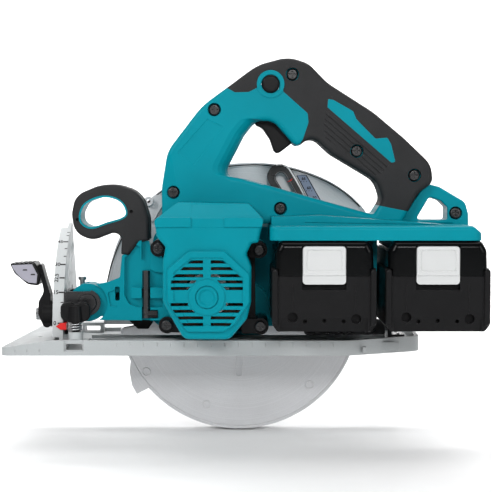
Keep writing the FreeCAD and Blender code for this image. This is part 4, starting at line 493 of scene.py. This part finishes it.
def numeral(name, text, plane, size, body):
    """Printed figures, centred on a plane's origin and raised a little."""
    font = bpy.data.curves.new(name, "FONT")
    font.body = text
    font.size = size
    font.extrude = PRINT_RISE / 2
    font.offset = FIGURE_BOLD
    font.align_x = "CENTER"
    font.align_y = "CENTER"
    holder = bpy.data.objects.new(name + "_type", font)
    scene.collection.objects.link(holder)
    depsgraph = bpy.context.evaluated_depsgraph_get()
    mesh = bpy.data.meshes.new_from_object(holder.evaluated_get(depsgraph))
    bpy.data.objects.remove(holder)
    for vertex in mesh.vertices:
        x, y, z = vertex.co
        vertex.co = plane.at(x, y, z)
    mesh.name = name
    keep(name, mesh, body, INK)


def turned(radius, degrees):
    turn = math.radians(degrees)
    return radius * math.cos(turn), radius * math.sin(turn)


# figures and strokes of the bevel scale, on the quadrant's outer rim
BEVEL_AXIS_Z = round(place_of("bevel_pivot_pins").z / MM, 1)
QUAD_R = -corner_of("bevel_quadrant").y
ZERO_DEG = 8.0  # place of the scale's zero, above the -Y direction
RIM_FRONT = corner_of("bevel_quadrant").x
RIM_RIGHT, FIGURE_X = RIM_FRONT + 7.9, RIM_FRONT + 1.8
LONG_STROKE, SHORT_STROKE = 4.0, 2.2
LONG_HALF, SHORT_HALF = 0.55, 0.35
BEVEL_FIGURE_SIZE = 4.2
BEVEL_FIGURES = {0: "0", 15: "15", 22.5: "22.5", 30: "30", 45: "45"}
BEVEL_STROKES = (0, 5, 10, 15, 22.5, 30, 35, 40, 45, 50, 53)


def rim_place(mark, x):
    turn = math.radians(ZERO_DEG + mark)
    across = Vector((0, -math.cos(turn), math.sin(turn)))
    along = (0, math.sin(turn), math.cos(turn))
    return Plane(Vector((x, 0, BEVEL_AXIS_Z)) + across * QUAD_R, X_AXIS, along)


for mark in BEVEL_STROKES:
    reach = LONG_STROKE if mark in BEVEL_FIGURES else SHORT_STROKE
    half = LONG_HALF if mark in BEVEL_FIGURES else SHORT_HALF
    stroke("bevel_stroke_%s" % str(mark).replace(".", "_"), rim_place(mark, RIM_RIGHT),
           [(-reach, -half), (0, -half), (0, half), (-reach, half)], "base")
for mark, text in BEVEL_FIGURES.items():
    place = rim_place(mark, FIGURE_X)
    if len(text) > 2:
        place = Plane(place.origin, place.v, -place.u)
    numeral("bevel_figure_%s" % text.replace(".", "_"), text, place, BEVEL_FIGURE_SIZE, "base")

# pale face on the bevel lever's thumb pad, with its two slots
PAD = corner_of("bevel_lever")
PAD_Y, PAD_THICK, PAD_ROUNDING = PAD.y - 0.05, 0.3, 0.2
PAD_OUTLINE = [(1.1, -2.3), (16.3, -1.6), (20.3, -9.3), (19.7, -16.0), (13.9, -15.5),
               (8.9, -12.7), (4.5, -8.3), (1.9, -4.5)]
PAD_SLOT = [(-1.8, -0.5), (1.8, -0.5), (1.4, 0.5), (-1.4, 0.5)]
plaque("lever_pad_face", side_plane(PAD_Y, PAD.x, PAD.z), PAD_OUTLINE, PAD_THICK,
       "bevel_lever", PAD_GREY, PAD_ROUNDING)
for name, x, z in (("lever_slot_front", 11.0, -5.9), ("lever_slot_rear", 17.0, -9.3)):
    stroke(name, side_plane(PAD_Y - PAD_THICK, PAD.x + x, PAD.z + z), PAD_SLOT, "bevel_lever")

# depth guide: bright outer edge, painted highlight line round the slot and red index
DEPTH_PIN = place_of("depth_pivot_pin") / MM
GUIDE_R, GUIDE_FACE_Y = 173.5, corner_of("depth_guide").y
OUTER_EDGE, OUTER_WIDTH, GUIDE_END_DEG, END_SWEEP_DEG = 9.4, 1.2, 33.0, 75
SLOT_EDGE, SLOT_HIGHLIGHT_WIDTH, SLOT_END_DEG = 4.7, 0.5, 32.6
INDEX_OUTLINE, INDEX_RISE = [(150.4, 89.8), (154.6, 91.0), (155.6, 93.2)], 0.15
guide_plane = side_plane(GUIDE_FACE_Y, DEPTH_PIN.x, DEPTH_PIN.z)


def around_end(reach, start, sweep):
    """Points round one end of the guide, from the direction of that end onwards."""
    cu, cv = turned(GUIDE_R, start)
    steps = [start + sweep * k / 10 for k in range(11)]
    return [(cu + turned(reach, a)[0], cv + turned(reach, a)[1]) for a in steps]


outer_edge = [turned(GUIDE_R + OUTER_EDGE, a) for a in range(0, 33, 2)]
outer_edge += around_end(OUTER_EDGE, GUIDE_END_DEG, END_SWEEP_DEG)
ribbon("guide_bright_edge", guide_plane, outer_edge, OUTER_WIDTH, PRINT_RISE, "bevel_frame",
       LOOKS["steel"])
# painted highlight: a grey line round the slot
slot_highlight = [turned(GUIDE_R + SLOT_EDGE, a) for a in range(0, 32, 2)]
slot_highlight += around_end(SLOT_EDGE, SLOT_END_DEG, 180)
slot_highlight += [turned(GUIDE_R - SLOT_EDGE, a) for a in range(30, -1, -2)]
ribbon("guide_slot_highlight", guide_plane, slot_highlight, SLOT_HIGHLIGHT_WIDTH, PRINT_RISE, "bevel_frame",
       LOOKS["guide_rim"])
plaque("depth_index", guide_plane, INDEX_OUTLINE, INDEX_RISE, "bevel_frame",
       LOOKS["red_paint"])

# depth scale plate: dark border, and figures with three strokes below each
PLATE, BORDER_WIDTH = corner_of("depth_scale_plate"), 0.7
PLATE_CORNERS = [(-0.2, -0.5), (7.2, -0.3), (22.6, -27.3), (14.8, -29.1)]
DEPTH_FIGURES = (("66", 5.2, -3.1), ("60", 9.4, -10.5), ("50", 13.8, -18.3))
DEPTH_FIGURE_SIZE = 3.2
DEPTH_STROKE = [(-2.2, -2.6), (-1.7, -2.6), (-1.7, -1.8), (-2.2, -1.8)]  # first one below a figure
DEPTH_STEP = 2.1
ribbon("depth_plate_border", side_plane(PLATE.y, PLATE.x, PLATE.z), PLATE_CORNERS, BORDER_WIDTH,
       PRINT_RISE, "saw_body", INK, True)
for k, (text, u, v) in enumerate(DEPTH_FIGURES):
    x, z = PLATE.x + u, PLATE.z + v
    numeral("depth_figure_%s" % text, text, side_plane(PLATE.y, x, z), DEPTH_FIGURE_SIZE,
            "saw_body")
    for step in range(3):
        stroke("depth_stroke_%d_%d" % (k, step), side_plane(PLATE.y, x + DEPTH_STEP * step, z),
               DEPTH_STROKE, "saw_body")

# teal lip round the front grip's opening, and the dark seam along the blade case's rim
GRIP = corner_of("front_grip_cover")
GRIP_OPENING = [(5.8, -21.6), (9.9, -13.2), (24.1, -7.8), (37.7, -11.8), (42.1, -21.8),
                (37.7, -25.8), (26.1, -28.8), (14.6, -33.4), (6.5, -29.2)]
LIP_WIDTH, LIP_SUNK, LIP_RISE = 1.3, 0.1, 0.3
CASE_RIM = [(178, 108.0), (158, 109.2), (130, 113.2), (110, 114.6), (93.3, 115.8), (86.9, 116.7),
            (74.1, 119.4), (61.1, 123.0), (54.9, 125.0), (47.7, 126.9), (38.6, 128.0)]
CASE_FACE_Y = round(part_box("depth_scale_plate")[1][1] / MM, 1)  # the plate lies on the case
SEAM_INSET, SEAM_WIDTH, SEAM_RISE = 1.2, 1.0, 0.15


def softened(corners, rounds=3):
    """A closed path with its corners cut again and again, which leaves a smooth curve."""
    for _ in range(rounds):
        ring = []
        for i, corner in enumerate(corners):
            a, b = Vector(corner), Vector(corners[(i + 1) % len(corners)])
            ring += [a.lerp(b, 0.25), a.lerp(b, 0.75)]
        corners = ring
    return corners


ribbon("grip_lip", side_plane(GRIP.y + LIP_SUNK, GRIP.x, GRIP.z), softened(GRIP_OPENING),
       LIP_WIDTH, LIP_RISE, "saw_body", LOOKS["teal"], True)
seam = []
for (a0, r0), (a1, r1) in zip(CASE_RIM, CASE_RIM[1:]):
    steps = max(2, round((a0 - a1) / 2))
    for k in range(steps):
        share = k / steps
        seam.append(turned(r0 + (r1 - r0) * share - SEAM_INSET, a0 + (a1 - a0) * share))
ribbon("case_seam", side_plane(CASE_FACE_Y, ARBOR.x / MM, ARBOR.z / MM), seam, SEAM_WIDTH,
       SEAM_RISE, "saw_body", INK)
